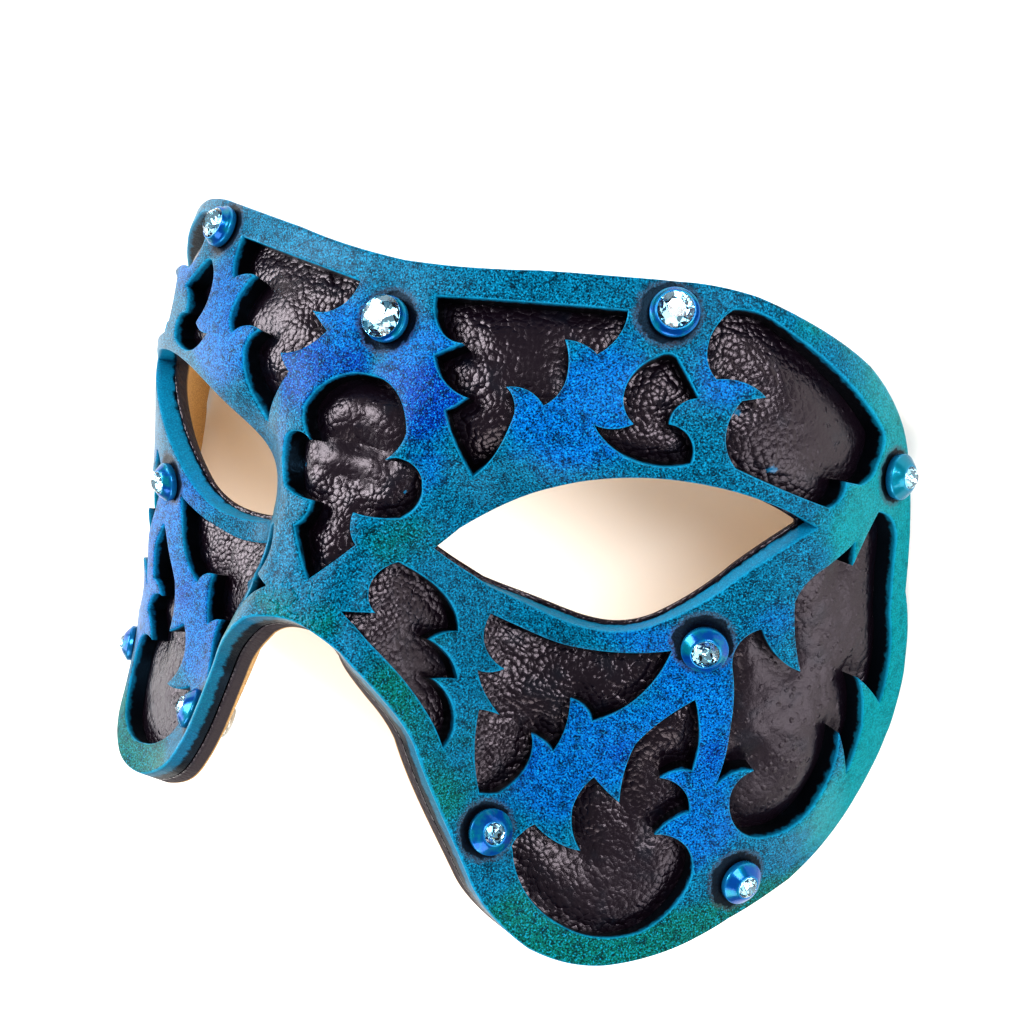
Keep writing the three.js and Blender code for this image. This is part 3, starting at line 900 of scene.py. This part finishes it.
def filleted(corners: list[tuple[float, float]], radius: float, steps: int = 5) -> Array:
    """Rounds the inner corners of a profile.

    Each corner P becomes the curve (1-t)²S + 2t(1-t)P + t²E between points S and E that lie
    the radius away on both sides of it, or less where a side is short.

    Args:
        corners: Profile of (radius, height) in mm.
        radius: Length cut from both sides of a corner.
        steps: Steps along each rounding.

    Returns:
        Profile points of shape (n, 2).
    """
    points = np.array(corners, float)
    before, middle, after = points[:-2], points[1:-1], points[2:]
    back, ahead = before - middle, after - middle
    back_length = np.linalg.norm(back, axis=1, keepdims=True)
    ahead_length = np.linalg.norm(ahead, axis=1, keepdims=True)
    start = middle + back * np.minimum(radius / back_length, FILLET_SHARE)
    end = middle + ahead * np.minimum(radius / ahead_length, FILLET_SHARE)
    t = np.linspace(0, 1, steps + 1)[None, :, None]
    bend = (1 - t) ** 2 * start[:, None] + 2 * t * (1 - t) * middle[:, None] + t**2 * end[:, None]
    return np.vstack([points[:1], bend.reshape(-1, 2), points[-1:]])


def turned(profile: Array, sides: int) -> tuple[Array, Array]:
    """Turns a closed profile about its axis, from its foot's middle to its top's middle.

    Args:
        profile: (radius, height) points; the first and the last lie on the axis.
        sides: Sides of the turned shape.

    Returns:
        Points (along, across, out) and outward triangles.
    """
    angle = 2 * math.pi * np.arange(sides) / sides
    ring = profile[1:-1]
    around = np.stack(
        [np.outer(ring[:, 0], np.cos(angle)), np.outer(ring[:, 0], np.sin(angle))], axis=-1
    )
    height = np.repeat(ring[:, 1], sides)[:, None]
    points = np.vstack(
        [[[0, 0, profile[0, 1]]], np.hstack([around.reshape(-1, 2), height]), [[0, 0, profile[-1, 1]]]]
    )
    index = 1 + np.arange(len(ring) * sides).reshape(len(ring), sides)
    beside = np.roll(index, -1, axis=1)
    low, low_next = index[:-1].ravel(), beside[:-1].ravel()
    high, high_next = index[1:].ravel(), beside[1:].ravel()
    foot = np.column_stack([np.zeros(sides, int), beside[0], index[0]])
    top = np.column_stack([np.full(sides, len(points) - 1), index[-1], beside[-1]])
    walls = [np.column_stack([low, low_next, high_next]), np.column_stack([low, high_next, high])]
    return points, np.vstack([foot, top, *walls])


@dataclass
class Rivet:
    """A turned metal rivet through both layers, with a raised cup for its crystal."""

    place: RivetPlace
    head_radius: float = 3.75
    head_foot: float = -0.2
    head_edge: float = 0.95
    head_height: float = 1.3
    cup_lip: float = 0.25
    cup_height: float = 2.3
    cup_foot: float = 3.35
    cup_depth: float = 1.4
    shank_radius: float = 1.3
    cap_radius: float = 3.0
    cap_top: float = -6.32
    cap_thickness: float = 1.0
    cap_chamfer: float = 0.4
    head_taper: float = 0.1
    lip_reach: float = 0.1
    well_play: float = 0.05
    waist: tuple[float, float] = (0.55, 0.6)
    well_side: float = 0.35
    well_floor: float = 0.35
    fillet: float = 0.3
    sides: int = 64

    def profile(self) -> Array:
        """Profile from the middle of the cap inside the mask to the middle of the cup.

        The cup's side bends at its waist: a share of the way in to the lip, and one up to it.
        """
        foot, (inward, upward) = self.cup_foot, self.waist
        lip = min(self.place.crystal + self.cup_lip, foot + self.lip_reach)
        well = min(self.place.crystal, lip) - self.well_play
        cap_foot, floor = self.cap_top - self.cap_thickness, self.cup_height - self.cup_depth
        waist = (
            (1 - inward) * foot + inward * lip,
            (1 - upward) * self.head_height + upward * self.cup_height,
        )
        corners = [
            (0.0, cap_foot),
            (self.cap_radius - self.cap_chamfer, cap_foot),
            (self.cap_radius, self.cap_top - 0.5 * self.cap_thickness),
            (self.cap_radius, self.cap_top),
            (self.shank_radius, self.cap_top),
            (self.shank_radius, self.head_foot),
            (self.head_radius - self.head_taper, self.head_foot),
            (self.head_radius, self.head_edge),
            (foot, self.head_height),
            waist,
            (lip, self.cup_height),
            (well, self.cup_height),
            (well, self.cup_height - self.well_side),
            (self.well_floor * well, floor),
            (0.0, floor),
        ]
        return filleted(corners, self.fillet)

    def build(self, face: FaceForm) -> Piece:
        """Builds the rivet on its seat."""
        points, triangles = turned(self.profile(), self.sides)
        seat = Seat.at(face, self.place)
        name = f"rivet_{self.place.name}"
        height = points[:, 2]
        facts = {
            "height_mm": height,
            "radius_mm": np.hypot(points[:, 0], points[:, 1]),
            "teal": np.full(len(points), self.place.teal),
        }
        piece = new_piece(f"turned_{name}", seat.placed(points), triangles, facts)
        piece.data.materials.append(BluePaintedMetal().material())
        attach(piece, "root")
        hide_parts(name)
        return piece


@dataclass
class Crystal:
    """A brilliant-cut clear crystal whose underside is backed with silver foil."""

    place: RivetPlace
    girdle_foot: float = 2.1
    girdle_height: float = 0.25
    crown_share: float = 0.4
    table: float = 0.52
    star: float = 0.74
    culet: float = 1.15
    lower: float = 0.5
    facets: int = 8

    def rings(self) -> Array:
        """Corners of the facets, ring by ring from the table down to the culet.

        The middle corners of the crown and the underside lie where their kites stay flat:
        on the straight line from the inner corner to the girdle, at their own reach.
        """
        radius, n = self.place.crystal, self.facets
        girdle_top = self.girdle_foot + self.girdle_height
        crown = self.crown_share * radius
        top = girdle_top + crown
        half = math.cos(math.pi / n)
        star_fall = (self.star * half - self.table) / (1 - self.table)
        lower_rise = self.lower * half
        depth = self.girdle_foot - self.culet
        rings = [
            (n, 0.0, self.table, top),
            (n, 0.5, self.star, top - crown * star_fall),
            (2 * n, 0.0, 1.0, girdle_top),
            (2 * n, 0.0, 1.0, self.girdle_foot),
            (n, 0.5, self.lower, self.culet + depth * lower_rise),
        ]
        corners = []
        for count, shift, reach, height in rings:
            angle = 2 * math.pi * (np.arange(count) + shift) / count
            spot = radius * reach * np.column_stack([np.cos(angle), np.sin(angle)])
            corners.append(np.column_stack([spot, np.full(count, height)]))
        return np.vstack([*corners, [[0, 0, self.culet]], [[0, 0, top]]])

    def triangles(self) -> tuple[Array, Array]:
        """Facets as triangles, and a flag for those of the foiled underside."""
        n = self.facets
        k = np.arange(n)
        after = (k + 1) % n
        table, star = k, n + k
        girdle = 2 * n + np.arange(2 * n)
        foot = girdle + 2 * n
        low = 6 * n + k
        culet, top = 7 * n, 7 * n + 1
        even, odd, next_even = 2 * k, 2 * k + 1, (2 * k + 2) % (2 * n)
        crown = [
            (np.full(n, top), table, table[after]),
            (table, star, table[after]),
            (table[after], star, girdle[next_even]),
            (table[after], girdle[next_even], star[after]),
            (star, girdle[even], girdle[odd]),
            (star, girdle[odd], girdle[next_even]),
        ]
        ring_next = np.roll(girdle, -1)
        belt = [(girdle, foot, np.roll(foot, -1)), (girdle, np.roll(foot, -1), ring_next)]
        under = [
            (low, foot[odd], foot[even]),
            (low, foot[next_even], foot[odd]),
            (low, low[after], foot[next_even]),
            (low, np.full(n, culet), low[after]),
        ]
        stacked = [np.column_stack(rows) for rows in [*crown, *belt, *under]]
        foiled = [i >= len(crown) + len(belt) for i, rows in enumerate(stacked) for _ in rows]
        return np.vstack(stacked), np.array(foiled)

    def build(self, face: FaceForm) -> Piece:
        """Builds the crystal in its cup, with flat facets."""
        triangles, foiled = self.triangles()
        seat = Seat.at(face, self.place)
        name = f"crystal_{self.place.name}"
        piece = new_piece(f"cut_{name}", seat.placed(self.rings()), triangles, crease_deg=1.0)
        piece.data.materials.append(ClearCrystal().material())
        piece.data.materials.append(SilverFoil().material())
        piece.data.polygons.foreach_set("material_index", foiled.astype(np.int32))
        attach(piece, "root")
        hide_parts(name)
        return piece


class FinishNodes:
    """The node tree of one finish."""

    def __init__(self, name: str) -> None:
        """Starts an empty material of this name."""
        self.material = bpy.data.materials.new(name)
        self.material.use_nodes = True
        self.tree = self.material.node_tree
        self.tree.nodes.clear()

    @cached_property
    def place(self) -> Socket:
        """Places on the part, which its textures are laid by."""
        return self.add("ShaderNodeTexCoord", output="Object")

    def add(
        self,
        kind: str,
        settings: dict[str, object] | None = None,
        inputs: dict[str | int, object] | None = None,
        output: int | str = 0,
    ) -> Socket:
        """Adds a node with its settings and links.

        Args:
            kind: Node type's name.
            settings: Properties of the node.
            inputs: For each input, a socket to link it to or a value to hold.
            output: Which output is handed back.

        Returns:
            The chosen output socket.
        """
        node = self.tree.nodes.new(kind)
        for key, value in (settings or {}).items():
            setattr(node, key, value)
        for key, value in (inputs or {}).items():
            if isinstance(value, Socket):
                self.tree.links.new(value, node.inputs[key])
            else:
                node.inputs[key].default_value = value
        return node.outputs[output] if node.outputs else None

    def fact(self, name: str) -> Socket:
        """The value that the mesh keeps at its vertices under this name."""
        return self.add("ShaderNodeAttribute", {"attribute_name": name}, output="Fac")

    def noise(
        self, size_mm: float, detail: float, roughness: float = 0.5, output: int | str = 0
    ) -> Socket:
        """Cloudy noise with features of a size in mm."""
        inputs = {
            "Vector": self.place, "Scale": per_mm(size_mm), "Detail": detail, "Roughness": roughness,
        }
        return self.add("ShaderNodeTexNoise", inputs=inputs, output=output)

    def maths(self, operation: str, *values: object) -> Socket:
        """One step of arithmetic on sockets or numbers."""
        return self.add("ShaderNodeMath", {"operation": operation}, dict(enumerate(values)))

    def ramp(
        self, value: object, span: tuple[float, float], result: tuple[float, float], soft: bool = True
    ) -> Socket:
        """Carries a value from one span onto another, held at both ends.

        Args:
            value: Socket to carry over.
            span: Values that become the first and the last result.
            result: The results there.
            soft: Whether it starts and ends gently instead of straight.

        Returns:
            The result's socket.
        """
        kind = {"interpolation_type": "SMOOTHSTEP" if soft else "LINEAR"}
        ends = {1: span[0], 2: span[1], 3: result[0], 4: result[1]}
        return self.add("ShaderNodeMapRange", kind, {0: value, **ends})

    def mixed(self, share: object, under: object, over: object) -> Socket:
        """Lays a colour over another by a share; each is a socket or an sRGB hex.

        The mix node's inputs 6 and 7 and its output 2 are the ones for colours.
        """
        under, over = (linear_colour(c) if isinstance(c, str) else c for c in (under, over))
        return self.add("ShaderNodeMix", {"data_type": "RGBA"}, {0: share, 6: under, 7: over}, 2)

    def laid(
        self,
        colour: object,
        tone: object,
        value: object,
        span: tuple[float, float],
        strength: float = 1.0,
    ) -> Socket:
        """Lays a tone over a colour where a value lies in or past a span.

        Args:
            colour: Socket or sRGB hex of the colour.
            tone: Socket or sRGB hex of the tone.
            value: Socket that tells where the tone lies.
            span: Values at which it begins and at which it has its strength.
            strength: Its greatest share.

        Returns:
            The mixed colour's socket.
        """
        return self.mixed(self.ramp(value, span, (0.0, strength)), colour, tone)

    def bump(self, height: object, strength: float, distance_mm: float) -> Socket:
        """Normals of a fine relief whose height of 1 stands for a distance in mm."""
        distance = distance_mm * MILLIMETRE
        inputs = {"Height": height, "Strength": strength, "Distance": distance}
        return self.add("ShaderNodeBump", inputs=inputs)

    def finished(self, inputs: dict[str, object]) -> bpy.types.Material:
        """Ends the tree in one principled surface and hands the material back."""
        surface = self.add("ShaderNodeBsdfPrincipled", inputs=inputs)
        self.add("ShaderNodeOutputMaterial", inputs={"Surface": surface})
        return self.material


def per_mm(size_mm: float) -> float:
    """Texture scale on metre coordinates for features of a size in mm."""
    return 1.0 / (size_mm * MILLIMETRE)


@dataclass(frozen=True)
class DyedCarvedLeather:
    """Vegetable-tanned leather, cut by hand and dabbed with spirit dyes, then waxed.

    To the eye: teal that drifts into azure, cobalt and green, a fine dark and light speckle
    where dye sat in the grain, a painted highlight along the rounded edges, dark rings at the
    rivets of worn stain and painted shade, and cut walls that are blue near the top and black
    below, darkened by dye and painted shade.
    """

    teal: str = "#005f7e"
    azure: str = "#005eae"
    cobalt: str = "#002e90"
    turquoise: str = "#008084"
    green: str = "#00624e"
    sheen: str = "#84c4f6"
    pale: str = "#149ac8"
    dark: str = "#000a14"
    # pale edge tone: a painted highlight along the rounded cut edges
    edge: str = "#1a98c4"
    # dark ring round each rivet head: worn stain and painted shade
    stain: str = "#060304"
    halo: str = "#42373c"
    # cut walls: dark dye with painted shade, down to a black foot
    wall_dye_and_shade: str = "#00122a"
    wall_foot: str = "#040406"
    roughness: float = 0.3
    matt: float = 0.75
    polish: float = 0.06
    drift_mm: float = 8.0
    mottle_mm: float = 1.7
    speckle_mm: float = 0.3  # the real 0.2 mm speckle, drawn coarse enough to show
    crease_mm: float = 3.0
    relief_mm: float = 0.12

    def material(self) -> bpy.types.Material:
        """Makes the finish, once for the whole layer."""
        f = FinishNodes("dyed_carved_leather")
        mottle = f.noise(self.mottle_mm, 4.0, 0.62)
        speckle = f.noise(self.speckle_mm, 2.0, 0.7)
        grain = f.maths("MULTIPLY_ADD", mottle, 0.5, -0.25)
        colour = self.dyed(f, grain)
        colour = self.speckled(f, colour, mottle, speckle)
        colour = self.worn(f, colour, grain)
        colour = self.walled(f, colour, grain)
        rough = f.ramp(f.fact("matt"), (0.1, 0.9), (self.roughness, self.matt), soft=False)
        rough = f.maths("MULTIPLY_ADD", f.fact("polished"), -self.polish, rough)
        rough = f.maths("MULTIPLY_ADD", mottle, 0.12, rough)
        return f.finished(
            {
                "Base Color": colour, "Roughness": rough, "Normal": self.relief(f, mottle, speckle),
                "IOR": 1.5, "Specular IOR Level": 0.2, "Specular Tint": linear_colour(self.sheen),
            }
        )

    def dyed(self, f: FinishNodes, grain: object) -> Socket:
        """Teal, with the other dyes stirred in where their patches lie."""
        drift = f.maths("MULTIPLY_ADD", f.noise(self.drift_mm, 3.0), 0.9, -0.45)
        stir = f.maths("ADD", drift, grain)
        colour = self.teal
        for name, tone in (
            ("azure", self.azure), ("cobalt", self.cobalt),
            ("turquoise", self.turquoise), ("green", self.green),
        ):
            stirred = f.maths("ADD", f.fact(name), stir)
            colour = f.laid(colour, tone, stirred, (0.22, 0.8), 0.92)
        return colour

    def speckled(self, f: FinishNodes, colour: object, mottle: object, speckle: object) -> Socket:
        """Dark and light specks of dye, fewer where the turquoise lies even."""
        plain = f.ramp(f.fact("turquoise"), (0.2, 0.9), (1.0, 0.4), soft=False)
        for noise, span, strength, tone in (
            (mottle, (0.46, 0.7), 0.72, self.dark),
            (speckle, (0.5, 0.59), 0.9, self.dark),
            (speckle, (0.44, 0.35), 0.64, self.pale),
        ):
            share = f.maths("MULTIPLY", f.ramp(noise, span, (0.0, strength)), plain)
            colour = f.mixed(share, colour, tone)
        return colour

    def worn(self, f: FinishNodes, colour: object, grain: object) -> Socket:
        """Painted highlight on the rounded edges; rivet rings of stain and painted shade, with halos.
        """
        highlit_edge_place = f.maths("MULTIPLY_ADD", grain, 0.6, f.fact("edge_mm"))
        ragged = f.maths("MULTIPLY_ADD", grain, 0.9, f.fact("stain"))
        for place, span, strength, tone in (
            # the edge tone is a painted highlight along the rounded edges
            (highlit_edge_place, (0.24, 0.05), 0.5, self.edge),
            (ragged, (1.14, 0.98), 0.5, self.halo),
            # the dark ring is worn stain and painted shade round the rivet head
            (ragged, (0.97, 0.9), 0.96, self.stain),
        ):
            colour = f.laid(colour, tone, place, span, strength)
        return colour

    def walled(self, f: FinishNodes, colour: object, grain: object) -> Socket:
        """Cut walls darkened by dye and painted shade to a black foot, less where a rim is painted."""
        wall, painted = f.fact("wall"), f.fact("painted")
        side = f.ramp(wall, (0.0, 0.12), (0.0, 0.55))
        bare = f.ramp(painted, (0.5, 1.0), (1.0, 0.15), soft=False)
        # darkening of the walls is dye and painted shade together
        colour = f.mixed(f.maths("MULTIPLY", side, bare), colour, self.wall_dye_and_shade)
        depth = f.maths("MULTIPLY_ADD", painted, -0.7, wall)
        uneven = f.maths("MULTIPLY_ADD", grain, 1.3, depth)
        return f.laid(colour, self.wall_foot, uneven, (0.12, 0.34))

    def relief(self, f: FinishNodes, mottle: object, speckle: object) -> Socket:
        """Fine grain, with fold lines where the leather was bent over the nose."""
        ridge = f.maths("SUBTRACT", f.noise(self.crease_mm, 1.5), 0.5)
        line = f.ramp(f.maths("ABSOLUTE", ridge), (0.0, 0.07), (-1.3, 0.0))
        height = f.maths("MULTIPLY", line, f.fact("creased"))
        height = f.maths("MULTIPLY_ADD", mottle, 1.1, height)
        height = f.maths("MULTIPLY_ADD", speckle, 0.55, height)
        return f.bump(height, 0.6, self.relief_mm)


@dataclass(frozen=True)
class PebbledBlackLeather:
    """Soft chrome-tanned leather with a pebbled grain, dyed black and glossy.

    To the eye: near black with small bright glints on its pebbles, smoother where it was
    stretched over the temples and cheeks, a brown-grey cut edge and a tan flesh side.
    """

    black: str = "#110811"
    haze: str = "#031822"
    dye: str = "#0a6c94"
    cut_edge: str = "#2b2526"
    flesh: str = "#d0a668"
    flesh_dark: str = "#a9824e"
    sheen: str = "#fcedf8"
    roughness: float = 0.22
    stretched: float = 0.31
    pebble_mm: float = 0.95
    wart_mm: float = 1.5
    fine_mm: float = 0.32
    swell_mm: float = 5.0
    warp_mm: float = 2.2
    warp: float = 0.8
    relief_mm: float = 0.5

    def material(self) -> bpy.types.Material:
        """Makes the finish, once for the whole layer."""
        f = FinishNodes("pebbled_black_leather")
        swell = f.noise(self.swell_mm, 2.0)
        fine = f.noise(self.fine_mm, 3.0, 0.6)
        wall, smooth = f.fact("wall"), f.fact("smooth")
        gloss = f.ramp(smooth, (0.2, 0.9), (self.roughness, self.stretched), soft=False)
        matt = f.ramp(wall, (0.02, 0.2), (0.0, 0.5), soft=False)
        return f.finished(
            {
                "Base Color": self.coloured(f, wall, swell, fine),
                "Roughness": f.maths("ADD", gloss, matt),
                "Normal": self.relief(f, smooth, swell, fine),
                "IOR": 1.5, "Specular IOR Level": 0.44, "Specular Tint": linear_colour(self.sheen),
            }
        )

    def coloured(self, f: FinishNodes, wall: object, swell: object, fine: object) -> Socket:
        """Cloudy black with drops of the front's dye, a brown-grey cut edge and tan inside."""
        colour = f.laid(self.black, self.haze, swell, (0.5, 0.75), 0.35)
        drops = f.maths("MULTIPLY_ADD", fine, 0.8, f.fact("dye"))
        colour = f.laid(colour, self.dye, drops, (0.85, 1.1), 0.9)
        fuzzy = f.maths("MULTIPLY_ADD", fine, 0.3, wall)
        colour = f.laid(colour, self.cut_edge, fuzzy, (0.22, 0.5), 0.8)
        flesh = f.laid(self.flesh, self.flesh_dark, fine, (0.4, 0.62), 0.8)
        deep = f.maths("MULTIPLY_ADD", f.fact("pared"), -0.35, wall)
        return f.mixed(f.ramp(deep, (0.86, 0.98), (0.0, 1.0), soft=False), colour, flesh)

    def relief(self, f: FinishNodes, smooth: object, swell: object, fine: object) -> Socket:
        """Pebbles and soft lumps, both weaker where the leather is smooth, and small warts there."""
        bent = f.noise(self.warp_mm, 1.0, output="Color")
        vectors, by = "ShaderNodeVectorMath", self.warp * MILLIMETRE
        shift = f.add(vectors, {"operation": "SCALE"}, {0: bent, "Scale": by})
        stirred = f.add(vectors, {"operation": "ADD"}, {0: f.place, 1: shift})
        cells, first = "ShaderNodeTexVoronoi", {"feature": "F1"}
        pebbles = f.add(cells, first, {"Vector": stirred, "Scale": per_mm(self.pebble_mm)})
        warts = f.add(cells, first, {"Vector": stirred, "Scale": per_mm(self.wart_mm)})
        strength = f.ramp(smooth, (0.1, 0.9), (-0.38, -0.09), soft=False)
        dome = f.maths("MULTIPLY", f.maths("MULTIPLY", pebbles, pebbles), strength)
        wart = f.ramp(warts, (0.36, 0.08), (0.0, 0.16))
        height = f.maths("MULTIPLY_ADD", wart, smooth, dome)
        lumps = f.ramp(smooth, (0.1, 0.9), (1.2, 0.4), soft=False)
        height = f.maths("MULTIPLY_ADD", swell, lumps, height)
        height = f.maths("MULTIPLY_ADD", fine, 0.075, height)
        return f.bump(height, 1.0, self.relief_mm)


@dataclass(frozen=True)
class BluePaintedMetal:
    """Brass rivets and cups dyed with the same blue as the leather, under a clear gloss."""

    deep: str = "#00245c"
    blue: str = "#00458e"
    teal: str = "#006f84"
    worn: str = "#2496cc"
    bare: str = "#b9b4a8"
    sheen: str = "#4cb4e6"
    patch_mm: float = 2.2

    def material(self) -> bpy.types.Material:
        """Makes the finish for one rivet."""
        f = FinishNodes("blue_painted_metal")
        noise = f.noise(self.patch_mm, 3.0)
        height, radius = f.fact("height_mm"), f.fact("radius_mm")
        stirred = f.maths("ADD", noise, f.fact("teal"))
        colour = f.laid(self.blue, self.teal, stirred, (0.38, 0.62))
        for where, span, strength, tone in (  # heights and distances from the axis, in mm
            (height, (0.9, 0.0), 0.85, self.deep),
            (height, (2.2, 2.38), 0.6, self.worn),
            (radius, (3.45, 3.7), 0.35, self.worn),
        ):
            colour = f.laid(colour, tone, where, span, strength)
        inside_mask = f.ramp(height, (-5.0, -6.0), (0.0, 1.0), soft=False)
        return f.finished(
            {
                "Base Color": f.mixed(inside_mask, colour, self.bare),
                "Roughness": f.ramp(noise, (0.3, 0.7), (0.16, 0.3), soft=False),
                "Metallic": 0.4, "Normal": f.bump(noise, 0.4, 0.2),
                "Specular Tint": linear_colour(self.sheen), "Coat Weight": 0.25,
                "Coat Roughness": 0.06,
            }
        )


@dataclass(frozen=True)
class ClearCrystal:
    """Lead crystal glass, cut and polished: clear, bright and sharply faceted."""

    tint: str = "#f4fbff"
    refraction: float = 1.6

    def material(self) -> bpy.types.Material:
        """Makes the finish for one crystal."""
        return FinishNodes("clear_cut_crystal").finished(
            {
                "Base Color": linear_colour(self.tint), "Roughness": 0.01,
                "Transmission Weight": 1.0, "IOR": self.refraction,
            }
        )


@dataclass(frozen=True)
class SilverFoil:
    """Silver mirror foil behind a crystal: a clean, slightly blue mirror."""

    silver: str = "#b2e2f4"

    def material(self) -> bpy.types.Material:
        """Makes the finish for one foil."""
        return FinishNodes("silver_mirror_foil").finished(
            {"Base Color": linear_colour(self.silver), "Roughness": 0.03, "Metallic": 1.0}
        )


@dataclass(frozen=True)
class Softbox:
    """A square studio light: the way it lies from the mask, its distance, size and power."""

    name: str
    way: tuple[float, float, float]
    distance: float
    size: float
    power: float
    colour: str = "#ffffff"

    def build(self, target: Vector) -> None:
        """Hangs the light so that it faces the target."""
        light = bpy.data.lights.new(self.name, "AREA")
        light.size = self.size
        light.energy = self.power
        light.color = linear_colour(self.colour)[:3]
        lamp = linked(self.name, light)
        way = Vector(self.way).normalized()
        lamp.location = target + way * self.distance
        lamp.rotation_euler = way.to_track_quat("Z", "Y").to_euler()


@dataclass
class Studio:
    """Pale floor, soft light and the camera."""

    target: tuple[float, float, float] = (0.0, 0.0, 0.03)
    floor_half: float = 3.0
    floor_colour: str = "#fbf8f3"
    air_colour: str = "#fbfdff"
    air_strength: float = 0.36
    camera_at: tuple[float, float, float] = (0.1023, 0.0813, 0.1981)
    camera_right: tuple[float, float, float] = (0.8744, 0.0966, -0.4755)
    camera_down: tuple[float, float, float] = (0.2458, -0.9332, 0.2623)
    lens: float = 42.19
    sensor: float = 36.0
    clip_start: float = 0.01
    softboxes: tuple[Softbox, ...] = (
        Softbox("key", (-0.727, 0.355, 0.588), 1.3, 0.65, 18.0),
        Softbox("right", (0.572, 0.572, 0.588), 1.5, 0.6, 14.5),
        Softbox("front", (0.18, -0.68, 0.707), 1.4, 0.9, 12.5, "#fffaf4"),
        Softbox("low_right", (0.952, -0.134, 0.276), 1.6, 0.8, 9.0),
        Softbox("left", (-0.93, -0.15, 0.28), 1.4, 0.8, 7.0),
    )

    def floor(self) -> None:
        """A plain pale floor under the mask."""
        half = self.floor_half
        points = np.array([[-half, -half, 0], [half, -half, 0], [half, half, 0], [-half, half, 0]])
        floor = new_piece("pale_floor", points, np.array([[0, 1, 2], [0, 2, 3]]))
        board = FinishNodes("matt_painted_board").finished(
            {
                "Base Color": linear_colour(self.floor_colour), "Roughness": 0.9,
                "Specular IOR Level": 0.2,
            }
        )
        floor.data.materials.append(board)

    def air(self) -> None:
        """Even pale light from all round."""
        world = bpy.data.worlds.new("studio_air")
        bpy.context.scene.world = world
        world.use_nodes = True
        background = world.node_tree.nodes["Background"]
        background.inputs["Color"].default_value = linear_colour(self.air_colour)
        background.inputs["Strength"].default_value = self.air_strength

    def camera(self) -> None:
        """The camera, above the lying mask and a little to the wearer's left."""
        view = bpy.data.cameras.new("camera")
        view.lens = self.lens
        view.sensor_width = self.sensor
        view.clip_start = self.clip_start
        camera = linked("camera", view)
        right = Vector(self.camera_right).normalized()
        up = -Vector(self.camera_down)
        up = (up - right * up.dot(right)).normalized()
        turn = Matrix((right, up, right.cross(up))).transposed().to_4x4()
        camera.matrix_world = Matrix.Translation(self.camera_at) @ turn
        bpy.context.scene.camera = camera

    def build(self) -> None:
        """Sets up the whole studio."""
        self.floor()
        self.air()
        self.camera()
        for softbox in self.softboxes:
            softbox.build(Vector(self.target))
        bpy.context.scene.view_settings.view_transform = "Standard"
        bpy.context.scene.view_settings.look = "Medium High Contrast"


def main() -> None:
    """Builds the mask's dressed pieces in order, then the studio."""
    logging.basicConfig(level=logging.INFO, format="%(name)s: %(message)s")
    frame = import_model()
    LOG.info("%d solids in the frame", len(frame["nodes"]))
    face, pattern = FaceForm(), CuttingPattern()
    pieces = [CarvedLayer(face, pattern).build(), BackingLayer(face, pattern).build()]
    for place in both_sides():
        pieces += [Rivet(place).build(face), Crystal(place).build(face)]
    for piece in pieces:
        LOG.info("%s: %d triangles", piece.name, len(piece.data.polygons))
    Studio().build()


if __name__ == "__main__":
    main()
